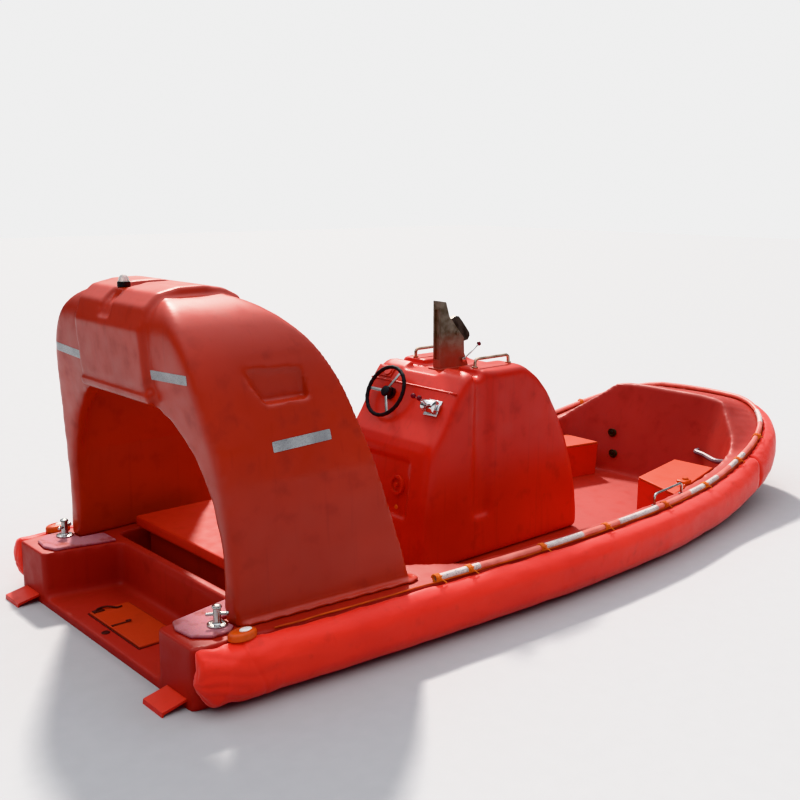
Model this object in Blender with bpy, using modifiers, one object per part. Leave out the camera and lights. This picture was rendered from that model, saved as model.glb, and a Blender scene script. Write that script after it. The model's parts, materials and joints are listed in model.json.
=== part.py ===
"""Fast rescue boat with a self-righting arch, a centre console and a foam fender.

Frame: X forward, Y to port, Z up, in metres. Heights in this file are measured from the
moulding's base line. At the end every piece is lowered to its loaded waterline, so the
origin lies on the centreline, amidships, on the water.
"""
import math

import bmesh
import bpy
from mathutils import Matrix, Vector

# Neighbours that rest on each other keep this gap.
GAP = 0.0003
# Height of the loaded waterline above the moulding's base line.
WATERLINE_Z = 0.06

# Hull: outer fender outline (x, y) from the port quarter round to the bow centre.
OUTLINE = (
    (-2.95, 1.16), (-2.40, 1.225), (-1.45, 1.30), (-0.40, 1.355), (0.60, 1.335), (1.40, 1.235),
    (2.00, 1.14), (2.42, 1.045), (2.76, 0.885), (3.00, 0.64), (3.12, 0.33), (3.16, 0.0),
)
# Keel line and chine heights at the same stations.
KEEL = (
    (-2.95, -0.40), (-2.40, -0.41), (-1.45, -0.42), (-0.40, -0.42), (0.60, -0.42), (1.40, -0.41),
    (1.95, -0.36), (2.26, -0.27), (2.47, -0.15), (2.61, 0.0), (2.70, 0.15), (2.75, 0.30),
)
CHINE_Z = (-0.06, -0.06, -0.06, -0.06, -0.05, -0.02, 0.06, 0.14, 0.23, 0.31, 0.36, 0.38)
# Top edge of the cockpit where the bow rises, and the foot of the same wall on the sole.
BOW_EDGE = ((2.20, 0.815, 0.58), (2.36, 0.665, 0.71), (2.47, 0.54, 0.815), (2.50, 0.30, 0.834), (2.50, 0.0, 0.834))
BOW_FOOT = ((2.02, 0.68), (2.10, 0.53), (2.13, 0.42), (2.15, 0.20), (2.15, 0.0))
SAMPLES = 3
SHEER_Z = 0.39
SHEER_RISE = 0.355
SHEER_START = 1.25
SHEER_END = 2.96
FENDER_WIDTH = 0.11
FENDER_DEPTH = 0.31
RAIL_INSET = 0.135
RAIL_RADIUS = 0.020
RAIL_GAP = 0.0008
RAIL_JOINT = 0.0022
LEDGE_INSET = 0.16
EDGE_INSET = 0.255
CHINE_INSET = 0.24
SOLE_Z = 0.065
SOLE_INSET = 0.335
SPLIT_COLUMN = 19
RAIL_START_COLUMN = 6
RAIL_SPLIT_COLUMN = 12

# Stern well, quarter blocks and the side decks that carry the arch.
TRANSOM_X = -2.95
WELL_FORWARD_X = -2.48
WELL_HALF_AFT = 0.707
WELL_HALF_FORWARD = 0.61
WELL_FLOOR_Z = 0.108
COAMING_X = -2.40
SIDE_DECK_HALF = 0.79
SIDE_DECK_END_X = -1.40
POCKET = ((-2.82, -0.26), (-2.63, 0.26))
POCKET_DEPTH = 0.038
HATCH = ((-2.85, -0.31), (-2.60, 0.31))
HATCH_THICK = 0.012

# Arch: half breadth by height at the aft face, and the side profile.
ARCH_BREADTH = (
    (0.0, 0.975), (0.95, 0.955), (1.30, 0.905), (1.60, 0.83), (1.80, 0.745),
    (1.92, 0.64), (1.99, 0.50), (2.02, 0.33), (2.03, 0.0),
)
ARCH_AFT = ((-2.625, 0.0), (-2.67, 1.00), (-2.755, 1.60), (-2.775, 1.84), (-2.74, 1.95), (-2.67, 2.01), (-2.55, 2.03))
ARCH_FRONT = (
    (-2.36, 2.022), (-2.24, 1.985), (-2.145, 1.92), (-2.03, 1.79), (-1.915, 1.585), (-1.842, 1.37),
    (-1.778, 1.17), (-1.70, 0.91), (-1.615, 0.64), (-1.55, 0.41), (-1.50, 0.20), (-1.46, 0.0),
)
ARCH_SAMPLES = 3
ARCH_WALL = 0.12
ARCH_FLARE = 0.10
ARCH_CEILING_Z = 1.82
DOORWAY = ((0.0, 0.86), (0.78, 0.84), (1.00, 0.79), (1.22, 0.68), (1.38, 0.52), (1.44, 0.42), (1.445, 0.0))
BLOCK_HALF = 0.385
BLOCK_RISE = 0.038
BLOCK_FOOT_Z = 1.535
BLOCK_FRONT_X = -2.13
# Rounded lip over the doorway, under the raised middle (x, z).
LIP_OUTLINE = ((-2.69, 1.462), (-2.765, 1.462), (-2.785, 1.475), (-2.788, 1.510), (-2.775, 1.538), (-2.66, 1.545))
BEACON_X = -2.665
BEACON_Y = 0.040
BEACON_FOOT_Z = 2.042
# Channel over the raised middle, in which the light stands: its half width, and its floor line (x, z).
TOP_GROOVE_HALF = 0.060
TOP_GROOVE_FLOOR = (
    (-2.92, 1.885), (-2.782, 1.885), (-2.748, 1.957), (-2.676, 2.016), (-2.55, 2.034), (-2.36, 2.026),
    (-2.24, 1.989), (-2.08, 1.90),
)

# Console profile (x, z) from its aft foot round to its front foot.
CONSOLE_HALF = 0.44
CONSOLE_PROFILE = (
    (-0.885, 0.27), (-0.850, 0.58), (-0.815, 0.86), (-0.785, 0.925), (-0.703, 1.04), (-0.578, 1.249),
    (-0.500, 1.345), (-0.435, 1.375), (0.075, 1.375), (0.15, 1.335),
    (0.25, 1.265), (0.35, 1.16), (0.46, 0.99), (0.56, 0.80), (0.64, 0.60), (0.69, 0.40), (0.715, 0.20),
)
# Upper slope, lower slope and footwell face of the console, each from its low to its high edge.
DASH_FACE = ((-0.578, 1.249), (-0.500, 1.345))
THROTTLE_FACE = ((-0.703, 1.04), (-0.578, 1.249))
FOOT_FACE = ((-0.848, 0.40), (-0.806, 0.80))
CONSOLE_AFT_X = -0.888
CONSOLE_FRONT_X = 0.72
CONSOLE_TOP_Z = 1.375
CHANNEL_HALF = 0.17
CHANNEL_DEPTH = 0.045
RECESS_HALF = 0.25
RECESS_LEAN = 2.0
GROOVE_X = (-0.41, -0.25)
GROOVE_Z = (0.36, 1.50)
GROOVE_DEPTH = 0.028

WHEEL_CENTRE = Vector((-0.68, 0.17, 1.195))
WHEEL_RADIUS = 0.175
WHEEL_TILT = math.radians(26)
HANDLE_Y = 0.30
HANDLE_X = (-0.28, 0.05)
HOOK_PIVOT = Vector((-0.195, 0.0, 1.575))
CHEEK_Y = 0.036
HOOK_SLOT_Y = 0.024
GRAB_RAIL_X = (0.70, 1.10)

# Water jet, all of it under water behind the transom.
JET_Z = -0.20
JET_FLANGE_RADIUS = 0.135
JET_OUTLET_RADIUS = 0.075
NOZZLE_PIVOT_X = -3.06
NOZZLE_INNER = 0.105
NOZZLE_OUTER = 0.120
BUCKET_PIVOT_X = -3.10
BUCKET_INNER = 0.147

LOCKER_BASE = ((1.34, 0.53), (2.00, 0.405), (1.91, 0.70), (1.19, 0.885))
LOCKER_TOP = ((1.34, 0.53), (2.02, 0.40), (2.03, 0.76), (1.16, 0.985))
LOCKER_TOP_Z = 0.339
LOCKER_WALL = 0.02
LID_THICK = 0.018

ENGINE_BOX = ((-2.24, -0.70), (-1.55, 0.70))
ENGINE_BOX_Z = 0.425
ENGINE_LID = ((-2.31, -0.745), (-1.50, 0.745))
ENGINE_LID_THICK = 0.07

RED_GRP = (0.62, 0.055, 0.025)
DECK_GRP = (0.68, 0.10, 0.05)
CLOTH_RED = (0.70, 0.05, 0.035)
ORANGE = (0.85, 0.25, 0.04)
PALE_GRIP = (0.72, 0.52, 0.55)
STEEL = (0.62, 0.62, 0.63)
BLACK = (0.03, 0.03, 0.035)
RAIL_PINK = (0.80, 0.55, 0.50)
WHITE_LENS = (0.90, 0.90, 0.88)
GREY_STEEL = (0.36, 0.33, 0.30)
DARK_ENGINE = (0.20, 0.22, 0.22)


def clear_scene():
    """Remove every object of the open scene."""
    for item in list(bpy.data.objects):
        bpy.data.objects.remove(item, do_unlink=True)


def collection(name):
    """Return a new collection linked to the scene."""
    group = bpy.data.collections.new(name)
    bpy.context.scene.collection.children.link(group)
    return group


clear_scene()
BOAT = collection("fast_rescue_boat")
CUTTERS = collection("cutters")


def material(name, colour, roughness, metallic=0.0):
    """Make a Principled material."""
    made = bpy.data.materials.new(name)
    made.use_nodes = True
    shader = made.node_tree.nodes["Principled BSDF"]
    shader.inputs["Base Color"].default_value = (*colour, 1.0)
    shader.inputs["Roughness"].default_value = roughness
    shader.inputs["Metallic"].default_value = metallic
    return made


def add_object(name, bm, group=None):
    """Turn a bmesh into an object with outward faces."""
    bmesh.ops.recalc_face_normals(bm, faces=bm.faces)
    mesh = bpy.data.meshes.new(name)
    bm.to_mesh(mesh)
    bm.free()
    item = bpy.data.objects.new(name, mesh)
    (group or BOAT).objects.link(item)
    if group is CUTTERS:
        item.hide_render = True
        item.display_type = "WIRE"
    return item


def finish(item, name, colour, roughness=0.4, metallic=0.0, smooth=True):
    """Name a finished piece, colour it and shade its round sides smooth."""
    item.name = name
    item.data.name = name
    item.data.materials.clear()
    item.data.materials.append(material(name, colour, roughness, metallic))
    if smooth:
        item.data.shade_smooth()
        item.data.set_sharp_from_angle(angle=math.radians(35))
    return item


def box(name, low, high, group=None):
    """Make an axis-aligned box between two corners."""
    bm = bmesh.new()
    bmesh.ops.create_cube(bm, size=1.0)
    low, high = Vector(low), Vector(high)
    size = high - low
    bmesh.ops.scale(bm, vec=size, verts=bm.verts)
    bmesh.ops.translate(bm, vec=(low + high) / 2, verts=bm.verts)
    return add_object(name, bm, group)


def rod(name, start, end, radius, sides=16, end_radius=None, group=None):
    """Make a round bar or cone between two points."""
    start, end = Vector(start), Vector(end)
    axis = end - start
    bm = bmesh.new()
    second = radius if end_radius is None else end_radius
    bmesh.ops.create_cone(bm, cap_ends=True, segments=sides, radius1=radius, radius2=second, depth=axis.length)
    turn = Vector((0, 0, 1)).rotation_difference(axis.normalized()).to_matrix().to_4x4()
    bmesh.ops.transform(bm, matrix=Matrix.Translation((start + end) / 2) @ turn, verts=bm.verts)
    return add_object(name, bm, group)


def ball(name, centre, radius, squash=1.0):
    """Make a ball, or a flattened one."""
    bm = bmesh.new()
    bmesh.ops.create_uvsphere(bm, u_segments=16, v_segments=10, radius=radius)
    bmesh.ops.scale(bm, vec=(1, 1, squash), verts=bm.verts)
    bmesh.ops.translate(bm, vec=centre, verts=bm.verts)
    return add_object(name, bm)


def prism(name, outline, axis, low, high, group=None):
    """Extrude a flat outline along X, Y or Z.

    The outline's pairs are (y, z) for X, (x, z) for Y and (x, y) for Z.
    """
    def place(pair, depth):
        if axis == "X":
            return (depth, pair[0], pair[1])
        if axis == "Y":
            return (pair[0], depth, pair[1])
        return (pair[0], pair[1], depth)

    bm = bmesh.new()
    verts = [bm.verts.new(place(pair, low)) for pair in outline]
    face = bm.faces.new(verts)
    moved = bmesh.ops.extrude_face_region(bm, geom=[face])
    shift = Vector(place((0, 0), high - low))
    bmesh.ops.translate(bm, vec=shift, verts=[v for v in moved["geom"] if isinstance(v, bmesh.types.BMVert)])
    return add_object(name, bm, group)


def tube(name, points, radius, closed=False):
    """Make a pipe along a path as a mesh with welded caps."""
    curve = bpy.data.curves.new(name, "CURVE")
    curve.dimensions = "3D"
    curve.bevel_depth = radius
    curve.bevel_resolution = 2
    curve.use_fill_caps = True
    spline = curve.splines.new("POLY")
    spline.points.add(len(points) - 1)
    for slot, point in zip(spline.points, points):
        slot.co = (*point, 1.0)
    spline.use_cyclic_u = closed
    guide = bpy.data.objects.new(name, curve)
    BOAT.objects.link(guide)
    bpy.context.view_layer.update()
    mesh = bpy.data.meshes.new_from_object(guide.evaluated_get(bpy.context.evaluated_depsgraph_get()))
    bpy.data.objects.remove(guide, do_unlink=True)
    bm = bmesh.new()
    bm.from_mesh(mesh)
    bmesh.ops.remove_doubles(bm, verts=bm.verts, dist=0.00005)
    bpy.data.meshes.remove(mesh)
    return add_object(name, bm)


def boolean(item, tool, operation="DIFFERENCE"):
    """Apply one exact Boolean with another piece and drop the tool."""
    step = item.modifiers.new("cut", "BOOLEAN")
    step.operation = operation
    step.solver = "EXACT"
    step.object = tool
    apply_modifiers(item)
    bpy.data.objects.remove(tool, do_unlink=True)
    return item


def apply_modifiers(item):
    """Replace the mesh by its evaluated form."""
    bpy.context.view_layer.update()
    mesh = bpy.data.meshes.new_from_object(item.evaluated_get(bpy.context.evaluated_depsgraph_get()))
    item.modifiers.clear()
    item.data = mesh
    bm = bmesh.new()
    bm.from_mesh(mesh)
    bmesh.ops.remove_doubles(bm, verts=bm.verts, dist=0.00002)
    bmesh.ops.dissolve_degenerate(bm, edges=bm.edges, dist=0.00002)
    bm.to_mesh(mesh)
    bm.free()


def bevel(item, width, segments=2, angle=30):
    """Round the sharp edges of a piece."""
    step = item.modifiers.new("round", "BEVEL")
    step.width = width
    step.segments = segments
    step.limit_method = "ANGLE"
    step.angle_limit = math.radians(angle)
    apply_modifiers(item)
    return item


def mirrored(item, name):
    """Copy a port piece to starboard."""
    bm = bmesh.new()
    bm.from_mesh(item.data)
    bmesh.ops.scale(bm, vec=(1, -1, 1), verts=bm.verts)
    bmesh.ops.reverse_faces(bm, faces=bm.faces)
    return add_object(name, bm)


def smooth_path(points, samples=SAMPLES, bow_end=True):
    """Sample a Catmull-Rom curve; at the bow it meets its own mirror image."""
    points = [Vector(p) for p in points]
    first = points[0] * 2 - points[1]
    last = points[-2].copy()
    if bow_end:
        last.y = -last.y
    else:
        last = points[-1] * 2 - points[-2]
    chain = [first, *points, last]
    path = []
    for i in range(1, len(chain) - 2):
        a, b, c, d = chain[i - 1:i + 3]
        for k in range(samples):
            t = k / samples
            path.append(0.5 * (2 * b + (c - a) * t + (2 * a - 5 * b + 4 * c - d) * t * t
                               + (3 * b - a - 3 * c + d) * t * t * t))
    path.append(points[-1])
    return path


def sheer(x):
    """Height of the gunwale at a station."""
    run = min(max((x - SHEER_START) / (SHEER_END - SHEER_START), 0.0), 1.0)
    return SHEER_Z + SHEER_RISE * run ** 1.8


def outline_columns():
    """Outline points of the port side with their inward directions."""
    path = smooth_path([(x, y, 0.0) for x, y in OUTLINE])
    columns = []
    for i, point in enumerate(path):
        if i == len(path) - 1:
            inward = Vector((-1, 0, 0))
        else:
            ahead, behind = path[i + 1], path[max(i - 1, 0)]
            along = (ahead - behind).normalized()
            inward = Vector((along.y, -along.x, 0))
        columns.append((point, inward))
    start, _ = columns[0]
    columns[0] = (start, Vector((0, -1, 0)))
    return columns


COLUMNS = outline_columns()


def inset(column, distance, lift=0.0):
    """Point inside the outline, at the height of the gunwale plus a lift."""
    point, inward = column
    spot = point + inward * distance
    rail = point + inward * RAIL_INSET
    return Vector((spot.x, max(spot.y, 0.0), sheer(rail.x) + lift))


def gunwale_spot(x, distance):
    """Point on the gunwale at a station, a distance inside the outline."""
    spots = [inset(column, distance) for column in COLUMNS]
    for a, b in zip(spots, spots[1:]):
        if a.x <= x <= b.x:
            return a.lerp(b, (x - a.x) / (b.x - a.x))
    return spots[-1]


def station_values(values):
    """Spread values given at the stations over all columns."""
    path = smooth_path([(i, v, 0.0) for i, v in enumerate(values)], bow_end=False)
    return [p.y for p in path]


def edge_points():
    """Top edge of the cockpit: along the gunwale, then up round the bow."""
    count = len(OUTLINE) - len(BOW_EDGE)
    stations = []
    for i in range(count):
        stations.append(inset(COLUMNS[i * SAMPLES], EDGE_INSET))
    stations.extend(Vector(p) for p in BOW_EDGE)
    return smooth_path(stations)


def foot_points():
    """Foot of the cockpit's side on the sole."""
    count = len(OUTLINE) - len(BOW_FOOT)
    stations = []
    for i in range(count):
        spot = inset(COLUMNS[i * SAMPLES], SOLE_INSET)
        stations.append(Vector((spot.x, spot.y, SOLE_Z)))
    stations.extend(Vector((x, y, SOLE_Z)) for x, y in BOW_FOOT)
    return smooth_path(stations)


def mirrored_skin(name, columns, group=None):
    """Close a half skin at its first column and mirror it over the centreline."""
    bm = bmesh.new()
    grid = [[bm.verts.new(p) for p in column] for column in columns]
    for a, b in zip(grid, grid[1:]):
        for j in range(len(a) - 1):
            bm.faces.new((a[j], a[j + 1], b[j + 1], b[j]))
    bm.faces.new(grid[0])
    twin = bmesh.ops.duplicate(bm, geom=bm.verts[:] + bm.edges[:] + bm.faces[:])
    verts = [v for v in twin["geom"] if isinstance(v, bmesh.types.BMVert)]
    faces = [f for f in twin["geom"] if isinstance(f, bmesh.types.BMFace)]
    bmesh.ops.scale(bm, vec=(1, -1, 1), verts=verts)
    bmesh.ops.reverse_faces(bm, faces=faces)
    bmesh.ops.remove_doubles(bm, verts=bm.verts, dist=0.0001)
    bmesh.ops.dissolve_degenerate(bm, edges=bm.edges, dist=0.0001)
    return add_object(name, bm, group)


def hull_skin():
    """Moulded hull with a V bottom, closed by a deck."""
    edges = edge_points()
    chine_z = station_values(CHINE_Z)
    keel_x = station_values([x for x, _ in KEEL])
    keel_z = station_values([z for _, z in KEEL])
    columns = []
    for i, column in enumerate(COLUMNS):
        edge = edges[i]
        ledge = inset(column, LEDGE_INSET)
        gunwale = inset(column, FENDER_WIDTH)
        under = inset(column, FENDER_WIDTH, -FENDER_DEPTH)
        chine = inset(column, CHINE_INSET)
        chine.z = chine_z[i]
        keel = Vector((keel_x[i], 0.0, keel_z[i]))
        if i == 0:
            for spot in (edge, ledge, gunwale, under, chine, keel):
                spot.x = TRANSOM_X
        if i == len(COLUMNS) - 1:
            for spot in (edge, ledge, gunwale, under, chine):
                spot.y = 0.0
        centre = Vector((edge.x, 0.0, edge.z))
        columns.append([centre, edge, ledge, gunwale, under, chine, keel])
    return mirrored_skin("hull_skin", columns)


def cockpit_cutter():
    """Space of the open cockpit, narrower between the arch legs."""
    edges, feet = edge_points(), foot_points()
    columns = []

    def column(x, half_top, half_foot, top):
        return [Vector((x, 0, SOLE_Z)), Vector((x, half_foot, SOLE_Z)), Vector((x, half_top, top)),
                Vector((x, half_top, 1.4)), Vector((x, 0, 1.4))]

    columns.append(column(COAMING_X, SIDE_DECK_HALF, SIDE_DECK_HALF - 0.03, SHEER_Z))
    columns.append(column(SIDE_DECK_END_X - 0.06, SIDE_DECK_HALF, SIDE_DECK_HALF - 0.03, SHEER_Z))
    for edge, foot in zip(edges, feet):
        if edge.x < SIDE_DECK_END_X:
            continue
        inner = Vector((edge.x - (0.004 if edge.x > 2.3 else 0.0), max(edge.y - 0.003, 0.0), edge.z))
        columns.append([Vector((foot.x, 0, SOLE_Z)), foot, inner, Vector((inner.x, inner.y, 1.4)),
                        Vector((inner.x, 0, 1.4))])
    columns[-1][1].y = 0.0
    columns[-1][2].y = 0.0
    columns[-1][3].y = 0.0
    return mirrored_skin("cockpit_space", columns, CUTTERS)


def make_hull():
    """Hull with its cockpit, stern well and inspection pocket."""
    hull = hull_skin()
    boolean(hull, cockpit_cutter())
    well = prism("well_space", ((-3.2, -WELL_HALF_AFT), (TRANSOM_X, -WELL_HALF_AFT),
                                (WELL_FORWARD_X, -WELL_HALF_FORWARD), (WELL_FORWARD_X, WELL_HALF_FORWARD),
                                (TRANSOM_X, WELL_HALF_AFT), (-3.2, WELL_HALF_AFT)),
                 "Z", WELL_FLOOR_Z, 1.0, CUTTERS)
    boolean(hull, well)
    (x0, y0), (x1, y1) = POCKET
    boolean(hull, box("pocket", (x0, y0, WELL_FLOOR_Z - POCKET_DEPTH), (x1, y1, 0.6), CUTTERS))
    return finish(hull, "hull_shell", RED_GRP, 0.32)


def sweep_section(name, columns, section):
    """Loft a section of (inset, lift) pairs along a run of (point, inward, height, depth share)."""
    bm = bmesh.new()
    rings = []
    for point, inward, height, lowest in columns:
        ring = []
        for distance, lift in section:
            spot = point + inward * distance
            ring.append(bm.verts.new((spot.x, spot.y, height + lift * lowest)))
        rings.append(ring)
    for a, b in zip(rings, rings[1:]):
        for j in range(len(a)):
            k = (j + 1) % len(a)
            bm.faces.new((a[j], a[k], b[k], b[j]))
    bm.faces.new(rings[0])
    bm.faces.new(list(reversed(rings[-1])))
    return add_object(name, bm)


def port_run(first, last, trim=0.0):
    """Columns of the port side as (point, inward, gunwale height)."""
    run = []
    for point, inward in COLUMNS[first:last + 1]:
        rail = point + inward * RAIL_INSET
        run.append((point.copy(), inward.copy(), sheer(rail.x)))
    if trim:
        point, inward, height = run[-1]
        before = run[-2][0]
        run[-1] = (point + (before - point).normalized() * trim, inward, height)
    return run


def bow_run(first):
    """Columns round the bow, from port to starboard."""
    port = port_run(first, len(COLUMNS) - 1)
    starboard = []
    for point, inward, height in reversed(port[:-1]):
        starboard.append((Vector((point.x, -point.y, 0)), Vector((inward.x, -inward.y, 0)), height))
    return port + starboard


def fender_section():
    """Foam fender: sloping top, crease, upright face and rounded underside."""
    width = FENDER_WIDTH - GAP
    return ((width, 0.0), (0.045, -0.012), (0.012, -0.05), (0.0, -0.12), (0.0, -0.235),
            (0.018, -0.285), (0.05, -FENDER_DEPTH), (width, -FENDER_DEPTH))


def stern_end(run):
    """Round the fender's lower edge up towards its closed stern end."""
    (start, inward, height), (after, _, _) = run[0], run[1]
    rings = []
    for share, depth in ((0.0, 0.62), (0.14, 0.80), (0.34, 0.92), (0.62, 0.98)):
        rings.append((start.lerp(after, share), inward, height, depth))
    return rings + [(*column, 1.0) for column in run[1:]]


def make_fenders():
    """Fender in three lengths: port side, bow and starboard side."""
    port = sweep_section("fender", stern_end(port_run(0, SPLIT_COLUMN, GAP * 2)), fender_section())
    starboard = mirrored(port, "fender")
    bow = sweep_section("fender", [(*column, 1.0) for column in bow_run(SPLIT_COLUMN)], fender_section())
    finish(port, "port_fender", CLOTH_RED, 0.6)
    finish(starboard, "starboard_fender", CLOTH_RED, 0.6)
    finish(bow, "bow_fender", CLOTH_RED, 0.6)


def rail_points(run):
    """Centreline of the gunwale rail above the gunwale's flat ledge."""
    points = []
    for point, inward, height in run:
        spot = point + inward * RAIL_INSET
        points.append(Vector((spot.x, spot.y, height + RAIL_RADIUS + RAIL_GAP)))
    return points


def make_rails():
    """Gunwale rail in five lengths that meet end to end."""
    aft = rail_points(port_run(RAIL_START_COLUMN, RAIL_SPLIT_COLUMN))
    aft[0] = aft[0].lerp(aft[1], -0.2)
    side = rail_points(port_run(RAIL_SPLIT_COLUMN, SPLIT_COLUMN))
    for path, name in ((aft, "aft_rail"), (side, "rail")):
        along = (path[-2] - path[-1]).normalized()
        path[-1] = path[-1] + along * RAIL_JOINT
        port = tube("rail", path, RAIL_RADIUS)
        starboard = mirrored(port, "rail")
        finish(port, "port_" + name, RAIL_PINK, 0.35)
        finish(starboard, "starboard_" + name, RAIL_PINK, 0.35)
    middle = tube("rail", rail_points(bow_run(SPLIT_COLUMN)), RAIL_RADIUS)
    finish(middle, "bow_rail", RAIL_PINK, 0.35)


def rounded(points, samples=ARCH_SAMPLES):
    """Smooth curve through the points of an open profile."""
    given = [Vector(p) for p in points]
    chain = [given[0] * 2 - given[1], *given, given[-1] * 2 - given[-2]]
    path = []
    for i in range(1, len(chain) - 2):
        a, b, c, d = chain[i - 1:i + 3]
        for k in range(samples):
            t = k / samples
            spot = 0.5 * (2 * b + (c - a) * t + (2 * a - 5 * b + 4 * c - d) * t * t + (3 * b - a - 3 * c + d) * t ** 3)
            path.append(tuple(spot))
    return path + [tuple(given[-1])]


def flare(x):
    """The arch grows wider from its aft face forward."""
    return 1.0 + ARCH_FLARE * (x + 2.62) / 1.12


def breadth_solid(name, profile, base_z, first_x, last_x, group=None):
    """Loft a half-breadth profile between two stations, widening forward."""
    bm = bmesh.new()
    rings = []
    for x in (first_x, last_x):
        ring = []
        pairs = [(half, max(z, base_z)) for z, half in profile]
        loop = pairs + [(-half, z) for half, z in reversed(pairs) if half > 0.0]
        for half, z in loop:
            ring.append(bm.verts.new((x, half * flare(x), z)))
        rings.append(ring)
    a, b = rings
    for j in range(len(a)):
        k = (j + 1) % len(a)
        bm.faces.new((a[j], a[k], b[k], b[j]))
    bm.faces.new(a)
    bm.faces.new(list(reversed(b)))
    return add_object(name, bm, group)


def make_arch():
    """Self-righting arch: a hood on two legs, open fore and aft, with a raised middle."""
    base = SHEER_Z + GAP
    side = [(x, z) for x, z in rounded(ARCH_AFT + ARCH_FRONT) if z > base]
    side = [(-2.638, base), *side, (-1.545, base)]
    arch = prism("arch", side, "Y", -1.3, 1.3)
    boolean(arch, breadth_solid("breadth", rounded(ARCH_BREADTH), base - 0.1, -3.0, -1.2, CUTTERS), "INTERSECT")
    bevel(arch, 0.028, 2, 40)
    boolean(arch, make_block(), "UNION")
    pedestal = rod("pedestal", (BEACON_X, BEACON_Y, 1.95), (BEACON_X, BEACON_Y, BEACON_FOOT_Z), 0.046, 20)
    boolean(arch, pedestal, "UNION")
    inner = [(z, max(half - ARCH_WALL, 0.0)) for z, half in ARCH_BREADTH if z < 1.7]
    inner.append((ARCH_CEILING_Z - 0.05, 0.60))
    inner.append((ARCH_CEILING_Z, 0.48))
    inner.append((ARCH_CEILING_Z, 0.0))
    boolean(arch, breadth_solid("hollow", inner, base - 0.2, -2.605, -1.0, CUTTERS))
    boolean(arch, breadth_solid("doorway", DOORWAY, base - 0.2, -3.1, -2.4, CUTTERS))
    for sign in (1, -1):
        boolean(arch, recess_cutter(sign))
        boolean(arch, foot_flange(sign, base), "UNION")
    return finish(arch, "arch_shell", RED_GRP, 0.32)


def foot_flange(sign, base):
    """Moulded flange along the outer foot of one arch leg."""
    outline = ((-2.63, 0.90), (-2.635, 0.975), (-2.59, 1.005), (-2.00, 1.062), (-1.56, 1.103), (-1.495, 1.085),
               (-1.485, 1.00), (-1.535, 0.985))
    flange = prism("flange", [(x, sign * y) for x, y in outline], "Z", base, base + 0.020)
    bevel(flange, 0.007, 1, 50)
    return flange


def make_block():
    """Raised middle of the arch, up its aft face and over its top."""
    path = [(x, z) for x, z in ARCH_AFT if z > BLOCK_FOOT_Z] + [(-2.40, 2.015), (-2.26, 1.955)]
    outer = []
    centre = Vector((-2.45, 1.75))
    outer.append((-2.745 - BLOCK_RISE, BLOCK_FOOT_Z))
    for x, z in path[:-2]:
        away = (Vector((x, z)) - centre).normalized()
        outer.append((x + away.x * BLOCK_RISE, z + away.y * BLOCK_RISE))
    outer.append((-2.42, 2.03 + BLOCK_RISE))
    outer.append((-2.29, 2.045))
    outer.append((-2.20, 2.000))
    outer.append((BLOCK_FRONT_X, 1.89))
    outer.append((-2.30, 1.86))
    outer.append((-2.62, 1.86))
    outer.append((-2.64, BLOCK_FOOT_Z))
    block = prism("block", outer, "Y", -BLOCK_HALF, BLOCK_HALF)
    bevel(block, 0.014, 2, 40)
    groove = [*TOP_GROOVE_FLOOR, (-2.08, 2.2), (-2.92, 2.2)]
    boolean(block, prism("groove", groove, "Y", BEACON_Y - TOP_GROOVE_HALF, BEACON_Y + TOP_GROOVE_HALF, CUTTERS))
    lip = prism("lip", LIP_OUTLINE, "Y", -BLOCK_HALF - 0.02, BLOCK_HALF + 0.01)
    bevel(lip, 0.012, 2, 40)
    boolean(block, lip, "UNION")
    return block


def recess_cutter(sign):
    """Trapezoid recess high on each side of the arch, shallow above and deep at its lower ledge."""
    outline = ((-2.49, 0.10), (-2.13, 0.075), (-2.11, -0.08), (-2.37, -0.085))
    cutter = prism("recess", outline, "Y", 0.0, 0.10, CUTTERS)
    turn = Matrix.Rotation(math.radians(RECESS_LEAN), 4, "X")
    sweep = Matrix.Rotation(math.radians(4.2), 4, "Z")
    centre = Vector((-2.30, 0.0, 0.0))
    move = Matrix.Translation(Vector((0.0, 0.822, 1.578)) + centre)
    matrix = move @ sweep @ turn @ Matrix.Translation(-centre)
    if sign < 0:
        matrix = Matrix.Scale(-1, 4, (0, 1, 0)) @ matrix
    cutter.data.transform(matrix)
    if sign < 0:
        cutter.data.flip_normals()
    return cutter


def make_beacon():
    """All-round light on the arch: a collar and a clear dome."""
    foot = BEACON_FOOT_Z + GAP
    base = rod("beacon", (BEACON_X, BEACON_Y, foot), (BEACON_X, BEACON_Y, foot + 0.028), 0.036, 20)
    top = foot + 0.028 + GAP
    dome = ball("dome", (BEACON_X, BEACON_Y, top), 0.031, 1.25)
    boolean(dome, box("below", (BEACON_X - 0.1, -0.1, top - 0.1), (BEACON_X + 0.1, 0.2, top), CUTTERS))
    finish(base, "beacon_base", BLACK, 0.5)
    finish(dome, "beacon_lens", WHITE_LENS, 0.1)
    return base


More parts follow.
